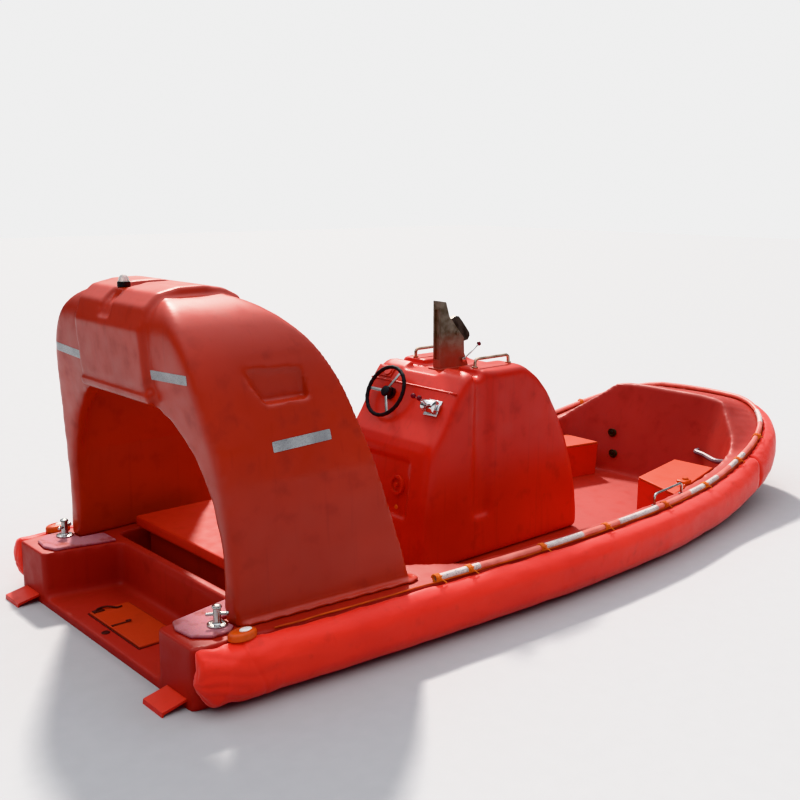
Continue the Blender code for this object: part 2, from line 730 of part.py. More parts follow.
def make_console():
    """Centre console: a hollow hood with a channel on top and a groove on each side."""
    foot = SOLE_Z + GAP
    outline = [(CONSOLE_AFT_X, foot), *CONSOLE_PROFILE, (CONSOLE_FRONT_X, foot)]
    console = prism("console", outline, "Y", -CONSOLE_HALF, CONSOLE_HALF)
    bevel(console, 0.045, 3, 60)
    boolean(console, box("channel", (-0.62, -CHANNEL_HALF, CONSOLE_TOP_Z - CHANNEL_DEPTH),
                         (0.25, CHANNEL_HALF, 1.6), CUTTERS))
    for sign in (1, -1):
        low = min(sign * (CONSOLE_HALF - GROOVE_DEPTH), sign * 0.6)
        high = max(sign * (CONSOLE_HALF - GROOVE_DEPTH), sign * 0.6)
        boolean(console, box("groove", (GROOVE_X[0], low, GROOVE_Z[0]), (GROOVE_X[1], high, GROOVE_Z[1]), CUTTERS))
    inside = [(-0.835, -0.2), (-0.800, 0.56), (-0.760, 0.83), (-0.655, 0.98), (-0.530, 1.20), (-0.44, 1.285),
              (0.05, 1.285), (0.20, 1.21), (0.30, 1.11), (0.41, 0.95), (0.51, 0.77), (0.60, 0.56), (0.66, 0.30),
              (0.68, -0.2)]
    boolean(console, prism("inside", inside, "Y", -CONSOLE_HALF + GROOVE_DEPTH + 0.02,
                           CONSOLE_HALF - GROOVE_DEPTH - 0.02, CUTTERS))
    recess = ((-1.1, 0.40), (-1.1, 0.80), (-0.806, 0.80), (-0.848, 0.40))
    boolean(console, prism("recess", recess, "Y", -RECESS_HALF, RECESS_HALF, CUTTERS))
    return finish(console, "console_body", RED_GRP, 0.32)


def on_face(low, high, along, side, lift):
    """Point on a sloping face of the console: a share up its slope, to port and off its surface."""
    low, high = Vector((low[0], 0, low[1])), Vector((high[0], 0, high[1]))
    up = (high - low).normalized()
    out = Vector((-up.z, 0, up.x))
    return low.lerp(high, along) + Vector((0, side, 0)) + out * lift


def plate_on_face(name, face, shares, sides, thick):
    """Flat plate that lies on a sloping face of the console."""
    bm = bmesh.new()
    corners = []
    for lift in (GAP, GAP + thick):
        for along, side in ((shares[0], sides[0]), (shares[1], sides[0]), (shares[1], sides[1]), (shares[0], sides[1])):
            corners.append(bm.verts.new(on_face(*face, along, side, lift)))
    for ring in ((0, 1, 2, 3), (7, 6, 5, 4), (0, 4, 5, 1), (1, 5, 6, 2), (2, 6, 7, 3), (3, 7, 4, 0)):
        bm.faces.new([corners[i] for i in ring])
    return add_object(name, bm)


def make_dash():
    """Raised gauge panel on the port half of the console's upper slope."""
    panel = plate_on_face("panel", DASH_FACE, (0.16, 0.86), (0.245, 0.415), 0.010)
    bevel(panel, 0.004, 1, 50)
    for side in (0.29, 0.37):
        start, end = on_face(*DASH_FACE, 0.5, side, 0.006), on_face(*DASH_FACE, 0.5, side, 0.018)
        boolean(panel, rod("gauge", start, end, 0.033, 20), "UNION")
    finish(panel, "dash_panel", RED_GRP, 0.4)


def make_throttle():
    """Throttle box with two levers on the console's lower slope, beside the wheel."""
    body = plate_on_face("throttle", THROTTLE_FACE, (0.22, 0.72), (-0.35, -0.21), 0.052)
    bevel(body, 0.012, 2, 50)
    for y, head in ((-0.235, (-0.786, -0.235, 1.236)), (-0.275, (-0.765, -0.27, 1.223))):
        foot = on_face(*THROTTLE_FACE, 0.5, y, 0.040)
        boolean(body, rod("lever", foot, head, 0.007, 10), "UNION")
        boolean(body, ball("knob", head, 0.018), "UNION")
    finish(body, "throttle_box", STEEL, 0.25, 0.9)


def make_wheel():
    """Steering wheel on its boss; the wheel's origin lies on its axis."""
    axis = Vector((-math.cos(WHEEL_TILT), 0, math.sin(WHEEL_TILT)))
    turn = Vector((0, 0, 1)).rotation_difference(axis).to_matrix().to_4x4()
    bpy.ops.mesh.primitive_torus_add(major_radius=WHEEL_RADIUS, minor_radius=0.014, major_segments=32,
                                     minor_segments=8)
    wheel = bpy.context.object
    for group in list(wheel.users_collection):
        group.objects.unlink(wheel)
    BOAT.objects.link(wheel)
    for k in range(3):
        angle = math.radians(90 + 120 * k)
        end = Vector((math.cos(angle), math.sin(angle), 0)) * WHEEL_RADIUS
        boolean(wheel, rod("spoke", (0, 0, -0.012), end, 0.010, 10), "UNION")
    boolean(wheel, rod("hub", (0, 0, -0.035), (0, 0, 0.014), 0.038, 20), "UNION")
    wheel.data.transform(turn)
    wheel.location = WHEEL_CENTRE
    finish(wheel, "steering_wheel", BLACK, 0.5)
    start = WHEEL_CENTRE - axis * (0.035 + GAP)
    boss = rod("boss", start, start - axis * 0.25, 0.045, 20)
    shift = GAP * 1.5
    face = [(x - shift, z + shift) for x, z in CONSOLE_PROFILE[2:7]]
    boolean(boss, prism("behind", [*face, (0.2, 1.5), (0.2, 0.8)], "Y", -0.2, 0.6, CUTTERS))
    finish(boss, "steering_boss", BLACK, 0.5)


def make_outlet():
    """Round outlet ring and its knob low on the console's aft face."""
    def spot(lift):
        return on_face(*FOOT_FACE, 0.54, -0.137, lift)

    ring = rod("outlet", spot(GAP), spot(0.024), 0.066, 24)
    boolean(ring, rod("hole", spot(0.009), spot(0.06), 0.047, 24, group=CUTTERS))
    boolean(ring, rod("knob", spot(0.006), spot(0.032), 0.016, 12), "UNION")
    finish(ring, "outlet_ring", STEEL, 0.35, 0.8)


def arc_points(points, radius, steps=4):
    """Round the inner corners of a path."""
    points = [Vector(p) for p in points]
    path = [points[0]]
    for before, corner, after in zip(points, points[1:], points[2:]):
        a = corner + (before - corner).normalized() * radius
        b = corner + (after - corner).normalized() * radius
        for k in range(steps + 1):
            t = k / steps
            path.append(a * (1 - t) ** 2 + corner * 2 * t * (1 - t) + b * t * t)
    path.append(points[-1])
    return path


def make_handle(name, feet, height, radius, foot_z):
    """Stirrup handle with two feet on a flat top."""
    (xa, ya), (xb, yb) = feet
    top = foot_z + height
    path = arc_points([(xa, ya, foot_z + 0.004), (xa, ya, top), (xb, yb, top), (xb, yb, foot_z + 0.004)], 0.03)
    bar = tube("handle", path, radius)
    for x, y in feet:
        boolean(bar, rod("foot", (x, y, foot_z), (x, y, foot_z + 0.008), radius * 1.9, 16), "UNION")
    return finish(bar, name, STEEL, 0.2, 0.95)


def make_hook():
    """Lifting hook column, its hook and the release lever."""
    foot = CONSOLE_TOP_Z - CHANNEL_DEPTH + GAP
    side = ((-0.355, foot), (-0.358, 1.81), (-0.305, 1.80), (-0.272, 1.70), (-0.128, 1.54), (-0.122, 1.43),
            (-0.085, foot + 0.02), (-0.085, foot))
    column = prism("column", side, "Y", -CHEEK_Y, CHEEK_Y)
    # Two cheeks stand on a web, with the hook's slot ahead of it and a shallow channel behind it.
    boolean(column, box("slot", (-0.328, -HOOK_SLOT_Y, foot + 0.05), (0.2, HOOK_SLOT_Y, 2.0), CUTTERS))
    boolean(column, box("channel", (-0.5, -HOOK_SLOT_Y, foot + 0.07), (-0.343, HOOK_SLOT_Y, 1.75), CUTTERS))
    plate = box("plate", (-0.375, -0.065, foot), (-0.065, 0.065, foot + 0.010))
    boolean(column, plate, "UNION")
    boolean(column, rod("pin", (HOOK_PIVOT.x, -0.044, HOOK_PIVOT.z), (HOOK_PIVOT.x, 0.044, HOOK_PIVOT.z), 0.014, 16),
            "UNION")
    finish(column, "hook_column", GREY_STEEL, 0.5, 0.7)
    outline = ((-0.270, 1.660), (-0.280, 1.625), (-0.262, 1.585), (-0.20, 1.545), (-0.15, 1.540), (-0.105, 1.512),
               (-0.068, 1.518), (-0.050, 1.543), (-0.054, 1.568), (-0.12, 1.648), (-0.160, 1.690), (-0.19, 1.695),
               (-0.235, 1.678))
    hook = prism("hook", outline, "Y", -0.018, 0.018)
    boolean(hook, rod("eye", (HOOK_PIVOT.x, -0.2, HOOK_PIVOT.z), (HOOK_PIVOT.x, 0.2, HOOK_PIVOT.z), 0.0146, 16,
                      group=CUTTERS))
    bevel(hook, 0.004, 1, 50)
    move_origin(hook, HOOK_PIVOT)
    finish(hook, "lifting_hook", GREY_STEEL, 0.45, 0.8)
    y = -0.051
    lever = tube("lever", [(-0.148, y, 1.388), (-0.07, y, 1.436), (0.006, y, 1.482)], 0.006)
    boolean(lever, ball("knob", (0.010, y, 1.485), 0.018), "UNION")
    boolean(lever, box("lug", (-0.170, y - 0.009, 1.370), (-0.136, -CHEEK_Y - GAP, 1.404)), "UNION")
    finish(lever, "release_lever", GREY_STEEL, 0.4, 0.7)


def move_origin(item, spot):
    """Put an object's origin on a joint axis without moving its mesh."""
    item.data.transform(Matrix.Translation(-Vector(spot)))
    item.location = spot


def make_quarter_pieces():
    """Non-slip pads, cross bollards, quarter lights and trim tabs."""
    top = SHEER_Z + GAP
    pad_top = top + 0.018
    outline = ((-2.865, 0.712), (-2.50, 0.638), (-2.50, 0.815), (-2.655, 0.825), (-2.655, 0.955), (-2.70, 1.00),
               (-2.80, 1.00), (-2.885, 0.93), (-2.90, 0.80))
    pad = prism("pad", outline, "Z", top, pad_top)
    bevel(pad, 0.005, 1, 50)
    x, y = -2.718, 0.905
    foot = pad_top + GAP
    post = rod("bollard", (x, y, foot), (x, y, foot + 0.008), 0.052, 24)
    boolean(post, rod("post", (x, y, foot + 0.004), (x, y, foot + 0.105), 0.020, 16), "UNION")
    boolean(post, rod("cap", (x, y, foot + 0.098), (x, y, foot + 0.110), 0.026, 16), "UNION")
    boolean(post, rod("cross", (x - 0.045, y - 0.03, foot + 0.062), (x + 0.045, y + 0.03, foot + 0.062), 0.009, 12),
            "UNION")
    lamp = rod("lamp", (0, 0, top), (0, 0, top + 0.042), 0.05, 28)
    lamp.data.transform(Matrix.Translation((-2.685, 1.085, 0)) @ Matrix.Scale(1.6, 4, (1, 0, 0)))
    bevel(lamp, 0.012, 2, 50)
    tab = prism("tab", ((TRANSOM_X - GAP, 0.100), (TRANSOM_X - GAP, 0.114), (-3.085, 0.085), (-3.092, 0.045),
                        (-3.084, 0.045), (-3.078, 0.072)), "Y", 0.79, 0.985)
    for item, name, colour, rough, metal in (
            (pad, "quarter_pad", PALE_GRIP, 0.8, 0.0), (post, "bollard", STEEL, 0.2, 0.95),
            (lamp, "quarter_light", ORANGE, 0.4, 0.0), (tab, "trim_tab", RED_GRP, 0.4, 0.0)):
        other = mirrored(item, name)
        finish(item, "port_" + name, colour, rough, metal)
        finish(other, "starboard_" + name, colour, rough, metal)


def make_hatch():
    """Inspection hatch on the floor of the stern well."""
    (x0, y0), (x1, y1) = HATCH
    low = WELL_FLOOR_Z + GAP
    plate = box("hatch", (x0, y0, low), (x1, y1, low + HATCH_THICK))
    bevel(plate, 0.003, 1)
    move_origin(plate, Vector((x1, 0.0, low + HATCH_THICK)))
    finish(plate, "well_hatch", DECK_GRP, 0.4)


def make_engine():
    """Engine block in its box under the cross bench."""
    foot = SOLE_Z + GAP
    (x0, y0), (x1, y1) = ENGINE_BOX
    case = box("case", (x0, y0, foot), (x1, y1, ENGINE_BOX_Z))
    bevel(case, 0.02, 2)
    boolean(case, box("room", (x0 + 0.03, y0 + 0.03, -0.2), (x1 - 0.03, y1 - 0.03, 0.8), CUTTERS))
    finish(case, "engine_box", RED_GRP, 0.35)
    block = box("engine", (-2.16, -0.24, foot), (-1.63, 0.24, 0.375))
    bevel(block, 0.02, 1)
    finish(block, "engine_block", DARK_ENGINE, 0.5, 0.6)
    (x0, y0), (x1, y1) = ENGINE_LID
    low = ENGINE_BOX_Z + GAP
    lid = box("lid", (x0, y0, low), (x1, y1, low + ENGINE_LID_THICK))
    bevel(lid, 0.015, 2)
    move_origin(lid, Vector((x1, 0.0, low)))
    finish(lid, "engine_box_lid", RED_GRP, 0.35)


def between(name, lower, upper, low_z, high_z, group=None):
    """Loft between two outlines that have the same number of corners."""
    bm = bmesh.new()
    a = [bm.verts.new((x, y, low_z)) for x, y in lower]
    b = [bm.verts.new((x, y, high_z)) for x, y in upper]
    for j in range(len(a)):
        k = (j + 1) % len(a)
        bm.faces.new((a[j], a[k], b[k], b[j]))
    bm.faces.new(a)
    bm.faces.new(b)
    return add_object(name, bm, group)


def shrunk(outline, wall):
    """Move an outline's corners towards its middle."""
    middle = sum((Vector(p) for p in outline), Vector((0, 0))) / len(outline)
    return [tuple(Vector(p) + (middle - Vector(p)).normalized() * wall * 1.4) for p in outline]


def make_lockers():
    """Bow lockers with hinged lids."""
    foot = SOLE_Z + GAP
    case = between("locker", LOCKER_BASE, LOCKER_TOP, foot, LOCKER_TOP_Z)
    inner = between("room", shrunk(LOCKER_BASE, LOCKER_WALL), shrunk(LOCKER_TOP, LOCKER_WALL),
                    foot + LOCKER_WALL, LOCKER_TOP_Z + 0.01, CUTTERS)
    boolean(case, inner)
    boolean(case, rod("hole", (1.15, 0.74, 0.14), (1.40, 0.70, 0.14), 0.032, 16, group=CUTTERS))
    other = mirrored(case, "locker")
    finish(case, "port_locker", RED_GRP, 0.35)
    finish(other, "starboard_locker", RED_GRP, 0.35)
    low = LOCKER_TOP_Z + GAP
    lid = prism("lid", LOCKER_TOP, "Z", low, low + LID_THICK)
    bevel(lid, 0.005, 1, 50)
    twin = mirrored(lid, "lid")
    hinge = Vector((*LOCKER_TOP[3], low + LID_THICK))
    move_origin(lid, hinge)
    finish(lid, "port_locker_lid", RED_GRP, 0.35)
    move_origin(twin, Vector((hinge.x, -hinge.y, hinge.z)))
    finish(twin, "starboard_locker_lid", RED_GRP, 0.35)


def make_bow_fittings():
    """Grab rails on the gunwale and the bar inside the bow."""
    for sign, side in ((1, "port"), (-1, "starboard")):
        feet = []
        for x in GRAB_RAIL_X:
            spot = gunwale_spot(x, 0.200)
            feet.append((spot.x, sign * spot.y))
        make_handle(side + "_grab_rail", feet, 0.085, 0.010, SHEER_Z + GAP)
    path = arc_points([(2.18, -0.92, 0.40), (2.072, -0.745, 0.40), (2.19, -0.565, 0.40), (2.225, -0.455, 0.40),
                       (2.42, -0.44, 0.40)], 0.045)
    bar = tube("bar", path, 0.021)
    bm = bmesh.new()
    bm.from_mesh(BOAT.objects["hull_shell"].data)
    boolean(bar, add_object("hull_copy", bm))
    bar.data.transform(Matrix.Translation((-GAP, GAP, 0.0)))
    finish(bar, "bow_grab_bar", STEEL, 0.35, 0.7)


def make_jet():
    """Water jet outlet, steering nozzle and reversing bucket."""
    face = TRANSOM_X - GAP
    body = rod("jet", (face, 0, JET_Z), (face - 0.016, 0, JET_Z), JET_FLANGE_RADIUS, 32)
    boolean(body, rod("pipe", (face - 0.008, 0, JET_Z), (-3.085, 0, JET_Z), 0.088, 24, JET_OUTLET_RADIUS), "UNION")
    boolean(body, rod("bore", (face - 0.03, 0, JET_Z), (-3.3, 0, JET_Z), 0.060, 24, group=CUTTERS))
    for sign in (1, -1):
        start = (NOZZLE_PIVOT_X, 0, JET_Z + sign * 0.068)
        end = (NOZZLE_PIVOT_X, 0, JET_Z + sign * 0.1028)
        boolean(body, rod("pin", start, end, 0.012, 12), "UNION")
    finish(body, "jet_housing", STEEL, 0.4, 0.8)
    nozzle = rod("nozzle", (-3.03, 0, JET_Z), (-3.19, 0, JET_Z), NOZZLE_OUTER, 24, 0.098)
    boolean(nozzle, rod("bore", (-3.0, 0, JET_Z), (-3.10, 0, JET_Z), NOZZLE_INNER, 24, group=CUTTERS))
    boolean(nozzle, rod("bore", (-3.09, 0, JET_Z), (-3.25, 0, JET_Z), 0.085, 24, group=CUTTERS))
    for sign in (1, -1):
        boolean(nozzle, rod("stub", (BUCKET_PIVOT_X, sign * 0.107, JET_Z), (BUCKET_PIVOT_X, sign * 0.145, JET_Z),
                            0.012, 12), "UNION")
    move_origin(nozzle, Vector((NOZZLE_PIVOT_X, 0, JET_Z)))
    finish(nozzle, "jet_nozzle", STEEL, 0.4, 0.8)
    shell = rod("bucket", (BUCKET_PIVOT_X, -0.148, JET_Z), (BUCKET_PIVOT_X, 0.148, JET_Z), BUCKET_INNER + 0.010, 32)
    boolean(shell, rod("inner", (BUCKET_PIVOT_X, -0.133, JET_Z), (BUCKET_PIVOT_X, 0.133, JET_Z), BUCKET_INNER, 32,
                       group=CUTTERS))
    wedge = prism("keep", ((BUCKET_PIVOT_X + 0.055, JET_Z - 0.035), (BUCKET_PIVOT_X + 0.085, JET_Z + 0.2),
                           (BUCKET_PIVOT_X - 0.115, JET_Z + 0.2), (BUCKET_PIVOT_X - 0.055, JET_Z - 0.035)),
                  "Y", -0.2, 0.2, CUTTERS)
    boolean(shell, wedge, "INTERSECT")
    boolean(shell, rod("eye", (BUCKET_PIVOT_X, -0.3, JET_Z), (BUCKET_PIVOT_X, 0.3, JET_Z), 0.0128, 12, group=CUTTERS))
    move_origin(shell, Vector((BUCKET_PIVOT_X, 0, JET_Z)))
    finish(shell, "reverse_bucket", STEEL, 0.4, 0.8)


def main():
    """Build the boat from the hull upwards."""
    make_hull()
    make_fenders()
    make_rails()
    make_arch()
    make_beacon()
    make_console()
    make_dash()
    make_throttle()
    make_wheel()
    make_outlet()
    for sign, side in ((1, "port"), (-1, "starboard")):
        feet = [(x, sign * HANDLE_Y) for x in HANDLE_X]
        make_handle(side + "_console_handle", feet, 0.058, 0.011, CONSOLE_TOP_Z + GAP)
    make_hook()
    make_quarter_pieces()
    make_hatch()
    make_engine()
    make_lockers()
    make_bow_fittings()
    make_jet()
    for piece in BOAT.objects:
        piece.location.z -= WATERLINE_Z


main()
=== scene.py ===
"""Looks of a fast rescue boat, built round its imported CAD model.

Frame: X forward, Y to port, Z up, in metres, with the origin on the water amidships.
"""

import json
import logging
import math
from dataclasses import dataclass
from enum import Enum
from typing import Callable, Optional, Sequence

import bpy
from mathutils import Matrix, Vector, noise

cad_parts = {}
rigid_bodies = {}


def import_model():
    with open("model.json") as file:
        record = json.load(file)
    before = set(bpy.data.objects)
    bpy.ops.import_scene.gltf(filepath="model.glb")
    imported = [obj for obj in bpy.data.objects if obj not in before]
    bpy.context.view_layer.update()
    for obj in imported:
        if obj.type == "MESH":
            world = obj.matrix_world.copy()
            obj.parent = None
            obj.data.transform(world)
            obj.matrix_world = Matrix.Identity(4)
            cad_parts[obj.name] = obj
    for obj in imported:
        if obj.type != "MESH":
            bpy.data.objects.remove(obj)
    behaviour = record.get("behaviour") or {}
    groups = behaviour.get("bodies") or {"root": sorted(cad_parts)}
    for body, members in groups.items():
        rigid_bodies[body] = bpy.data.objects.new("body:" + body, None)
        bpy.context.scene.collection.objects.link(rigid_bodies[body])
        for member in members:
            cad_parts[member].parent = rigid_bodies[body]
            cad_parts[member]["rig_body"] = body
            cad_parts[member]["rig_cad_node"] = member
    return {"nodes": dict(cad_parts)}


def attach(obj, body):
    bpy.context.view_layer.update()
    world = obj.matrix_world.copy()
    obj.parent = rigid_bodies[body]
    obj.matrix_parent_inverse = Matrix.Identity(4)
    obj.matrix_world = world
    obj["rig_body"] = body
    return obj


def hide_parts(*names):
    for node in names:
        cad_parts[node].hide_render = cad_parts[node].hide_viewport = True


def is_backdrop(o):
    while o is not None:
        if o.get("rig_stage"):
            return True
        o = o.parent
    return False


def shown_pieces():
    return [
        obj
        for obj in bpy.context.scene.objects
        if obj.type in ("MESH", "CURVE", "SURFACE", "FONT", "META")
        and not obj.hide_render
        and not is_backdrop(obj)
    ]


LOG = logging.getLogger("rescue_boat")
UP = Vector((0, 0, 1))
Point = tuple[float, float, float]
Item = bpy.types.Object
Socket = bpy.types.NodeSocket


# Materials


def linear(colour: str) -> tuple[float, float, float, float]:
    """Turn an sRGB hex colour to linear.

    Args:
        colour: Six hex digits after a hash sign.

    Returns:
        Linear red, green, blue and full opacity.
    """
    parts = [int(colour[i:i + 2], 16) / 255 for i in (1, 3, 5)]
    lifted = [p / 12.92 if p <= 0.04045 else ((p + 0.055) / 1.055) ** 2.4 for p in parts]
    return (lifted[0], lifted[1], lifted[2], 1.0)


@dataclass(frozen=True)
class Coat:
    """The nodes round one shader, of a material or of the sky."""

    tree: bpy.types.NodeTree
    shader: bpy.types.Node

    def add(self, kind: str, settings: Optional[dict] = None, values: Optional[dict] = None,
            links: Optional[dict] = None) -> bpy.types.Node:
        """Add one shader node.

        Args:
            kind: The node's type name without its first word, ShaderNode.
            settings: Properties of the node.
            values: Values of its input sockets, by name or number.
            links: Output sockets that feed its inputs, by name or number.

        Returns:
            The new node.
        """
        node = self.tree.nodes.new("ShaderNode" + kind)
        for key, value in (settings or {}).items():
            setattr(node, key, value)
        for key, value in (values or {}).items():
            node.inputs[key].default_value = value
        for key, source in (links or {}).items():
            self.tree.links.new(source, node.inputs[key])
        return node

    def feed(self, name: str, source: Socket) -> None:
        """Let a socket drive an input of the shader."""
        self.tree.links.new(source, self.shader.inputs[name])

    def place(self) -> Socket:
        """Return the Object coordinates of the piece."""
        return self.add("TexCoord").outputs["Object"]

    def spots(self, size: float, detail: float) -> Socket:
        """Return noise whose blotches are about `size` metres wide."""
        return self.add("TexNoise", values={"Scale": 0.5 / size, "Detail": detail},
                        links={"Vector": self.place()}).outputs["Fac"]

    def drift(self, colours: Sequence[str], pattern: Socket, low: float, high: float) -> Socket:
        """Let the colour drift with a pattern.

        Args:
            colours: The shade and the full colour.
            pattern: The value that the colour follows.
            low: Value up to which the shade shows.
            high: Value from which the full colour shows.

        Returns:
            The colour.
        """
        node = self.add("ValToRGB", links={0: pattern})
        for element, position, colour in zip(node.color_ramp.elements, (low, high), colours):
            element.position = position
            element.color = linear(colour)
        return node.outputs["Color"]

    def stain(self, under: Socket, colour: str, mask: Socket, reach: Point,
              thinned: Optional[Socket] = None) -> Socket:
        """Lay a thin colour over another.

        Args:
            under: The colour below.
            colour: The colour on top.
            mask: The value that says where it lies.
            reach: The mask's value where the stain starts, where it is full, and how much it then covers.
            thinned: A pattern that makes it uneven.

        Returns:
            The mixed colour.
        """
        amount = self.add("MapRange", values={"From Min": reach[0], "From Max": reach[1], "To Max": reach[2]},
                          links={"Value": mask}).outputs["Result"]
        if thinned is not None:
            amount = self.add("Math", {"operation": "MULTIPLY"}, links={0: amount, 1: thinned}).outputs[0]
        return self.add("Mix", {"data_type": "RGBA"}, {"B": linear(colour)},
                        {"Factor": amount, "A": under}).outputs["Result"]

    def vary_gloss(self, pattern: Socket, full: float, least: float, most: float) -> None:
        """Make the roughness uneven.

        Args:
            pattern: The value that it follows, from 0.3 on.
            full: The pattern's value where the surface is roughest.
            least: The least roughness.
            most: The most roughness.
        """
        rough = self.add("MapRange", values={"From Min": 0.3, "From Max": full, "To Min": least,
                                             "To Max": most}, links={"Value": pattern})
        self.feed("Roughness", rough.outputs["Result"])

    def relief(self, height: Socket, depth: float) -> None:
        """Add relief on top of what the shader's normal has now.

        Args:
            height: The relief's pattern.
            depth: Its depth, in metres.
        """
        node = self.add("Bump", values={"Strength": 1.0, "Distance": depth}, links={"Height": height})
        socket = self.shader.inputs["Normal"]
        if socket.links:
            self.tree.links.new(socket.links[0].from_socket, node.inputs["Normal"])
        self.feed("Normal", node.outputs["Normal"])


@dataclass(frozen=True)
class Finish:
    """A plain finish, the base of the others.

    The colours are sRGB hex values; `shade` is the darker or dirtier colour that the surface varies to.
    """

    name: str
    colour: str
    shade: str
    roughness: float = 0.4
    metallic: float = 0.0
    ior: float = 1.5

    @property
    def colours(self) -> tuple[str, str]:
        """Return the shade and the full colour."""
        return self.shade, self.colour

    def make(self) -> bpy.types.Material:
        """Build the material once.

        Returns:
            The material, the same one each time.
        """
        found = bpy.data.materials.get(self.name)
        if found is not None:
            return found
        made = bpy.data.materials.new(self.name)
        made.use_nodes = True
        shader = made.node_tree.nodes["Principled BSDF"]
        shader.inputs["Roughness"].default_value = self.roughness
        shader.inputs["Metallic"].default_value = self.metallic
        if self.metallic < 0.5:
            shader.inputs["IOR"].default_value = self.ior
        self.shape(Coat(made.node_tree, shader))
        return made

    def shape(self, coat: Coat) -> None:
        """Add the finish's pattern to the coat's nodes."""
        coat.feed("Base Color", coat.drift(self.colours, coat.spots(0.05, 5.0), 0.35, 0.65))
        coat.relief(coat.spots(0.004, 2.0), 0.0002)


@dataclass(frozen=True)
class Gelcoat(Finish):
    """Hand-laid glass fibre with a sprayed gelcoat: satin, slightly wavy, with fine orange peel.

    Its edges are rounded in the shading and worn paler, dirt lies in cloudy patches and upright streaks,
    and its upper faces are painted paler: painted sunlight on the tops, partly sun chalking.
    """

    worn: str = "#D9604F"
    dirt: str = "#5C0E0C"
    # The colour painted on upper faces: painted sunlight, partly sun chalking.
    top_light_and_chalk: str = "#D24A36"
    edge: float = 0.006
    wave: float = 0.0048
    gloss: float = 0.25

    def shape(self, coat: Coat) -> None:
        """Add waves, orange peel, streaks, worn edges, dirt and painted sunlight on the upper faces.

        Args:
            coat: The nodes that it adds to.
        """
        # Colour drifts over half a metre, as hand-sprayed gelcoat does, with smaller cloudy patches.
        broad = coat.spots(0.45, 4.0)
        cloudy = coat.spots(0.06, 6.0)
        colour = coat.drift(self.colours, broad, 0.30, 0.70)
        colour = coat.stain(colour, self.dirt, cloudy, (0.56, 0.80, 0.34))
        # Water leaves upright streaks: noise squeezed along the two level axes.
        squeezed = coat.add("Mapping", values={"Scale": (28.0, 28.0, 1.4)}, links={"Vector": coat.place()})
        streaks = coat.add("TexNoise", values={"Scale": 1.0, "Detail": 3.0},
                           links={"Vector": squeezed.outputs["Vector"]})
        colour = coat.stain(colour, self.dirt, streaks.outputs["Fac"], (0.58, 0.85, 0.25))
        # Upper faces are painted paler, unevenly: painted sunlight on the tops, partly sun chalking.
        plain = coat.add("NewGeometry").outputs["Normal"]
        facing = coat.add("SeparateXYZ", links={0: plain})
        uneven = coat.add("MapRange", values={"From Min": 0.2, "From Max": 0.8, "To Min": 0.7},
                          links={"Value": broad})
        colour = coat.stain(colour, self.top_light_and_chalk, facing.outputs["Z"], (0.35, 0.95, 0.40),
                            uneven.outputs["Result"])
        # Edges are worn where the rounded normal turns away from the face's own.
        rounded = coat.add("Bevel", {"samples": 4}, {"Radius": self.edge}).outputs["Normal"]
        facing = coat.add("VectorMath", {"operation": "DOT_PRODUCT"}, links={0: rounded, 1: plain})
        colour = coat.stain(colour, self.worn, facing.outputs["Value"], (0.97, 0.78, 0.55), cloudy)
        coat.feed("Base Color", colour)
        coat.feed("Normal", rounded)
        coat.vary_gloss(cloudy, 0.75, self.roughness - 0.07, self.roughness + 0.14)
        # The laminate is wavy over 25 cm; orange peel is about 3 mm, drawn at 6 mm so that it shows.
        coat.relief(coat.spots(0.25, 1.0), self.wave)
        coat.relief(coat.spots(0.006, 1.0), 0.00012)
        coat.shader.inputs["Coat Weight"].default_value = self.gloss
        coat.shader.inputs["Coat Roughness"].default_value = 0.25


@dataclass(frozen=True)
class CoatedCloth(Finish):
    """PVC-coated polyester cloth: a fine plain weave under a soft shine, with uneven colour and dark scuffs.
    """

    scuff: str = "#8E1712"
    thread: float = 0.0022

    def shape(self, coat: Coat) -> None:
        """Add the weave, fading and small creases.

        Args:
            coat: The nodes that it adds to.
        """
        colour = coat.drift(self.colours, coat.spots(0.30, 5.0), 0.30, 0.68)
        coat.feed("Base Color", coat.stain(colour, self.scuff, coat.spots(0.035, 8.0), (0.60, 0.85, 0.30)))
        # Threads lie 1 mm apart in the real cloth; they are drawn at 2.2 mm so that they show.
        waves = [coat.add("TexWave", {"bands_direction": direction},
                          {"Scale": 0.314 / self.thread, "Distortion": 0.3},
                          {"Vector": coat.place()}).outputs["Fac"] for direction in ("X", "Z")]
        weave = coat.add("Math", {"operation": "MULTIPLY"}, links={0: waves[0], 1: waves[1]})
        coat.relief(coat.spots(0.05, 3.0), 0.004)
        coat.relief(weave.outputs[0], 0.00018)
        coat.shader.inputs["Sheen Weight"].default_value = 0.25
        coat.shader.inputs["Sheen Roughness"].default_value = 0.4


@dataclass(frozen=True)
class GritSheet(Finish):
    """Rubber sheet with bonded grit: matt, speckled, rough underfoot."""

    grain: float = 0.003

    def shape(self, coat: Coat) -> None:
        """Add the grit and its speckles.

        Args:
            coat: The nodes that it adds to.
        """
        # Grit of 1 mm is drawn at 3 mm so that it shows from four metres away.
        grit = coat.add("TexVoronoi", values={"Scale": 1 / self.grain}, links={"Vector": coat.place()})
        colour = coat.drift(self.colours, coat.spots(0.04, 6.0), 0.30, 0.50)
        speckle = coat.add("Mix", {"data_type": "RGBA", "blend_type": "MULTIPLY"}, {"Factor": 0.25},
                           {"A": colour, "B": grit.outputs["Color"]})
        coat.feed("Base Color", speckle.outputs["Result"])
        coat.relief(grit.outputs["Distance"], 0.0008)


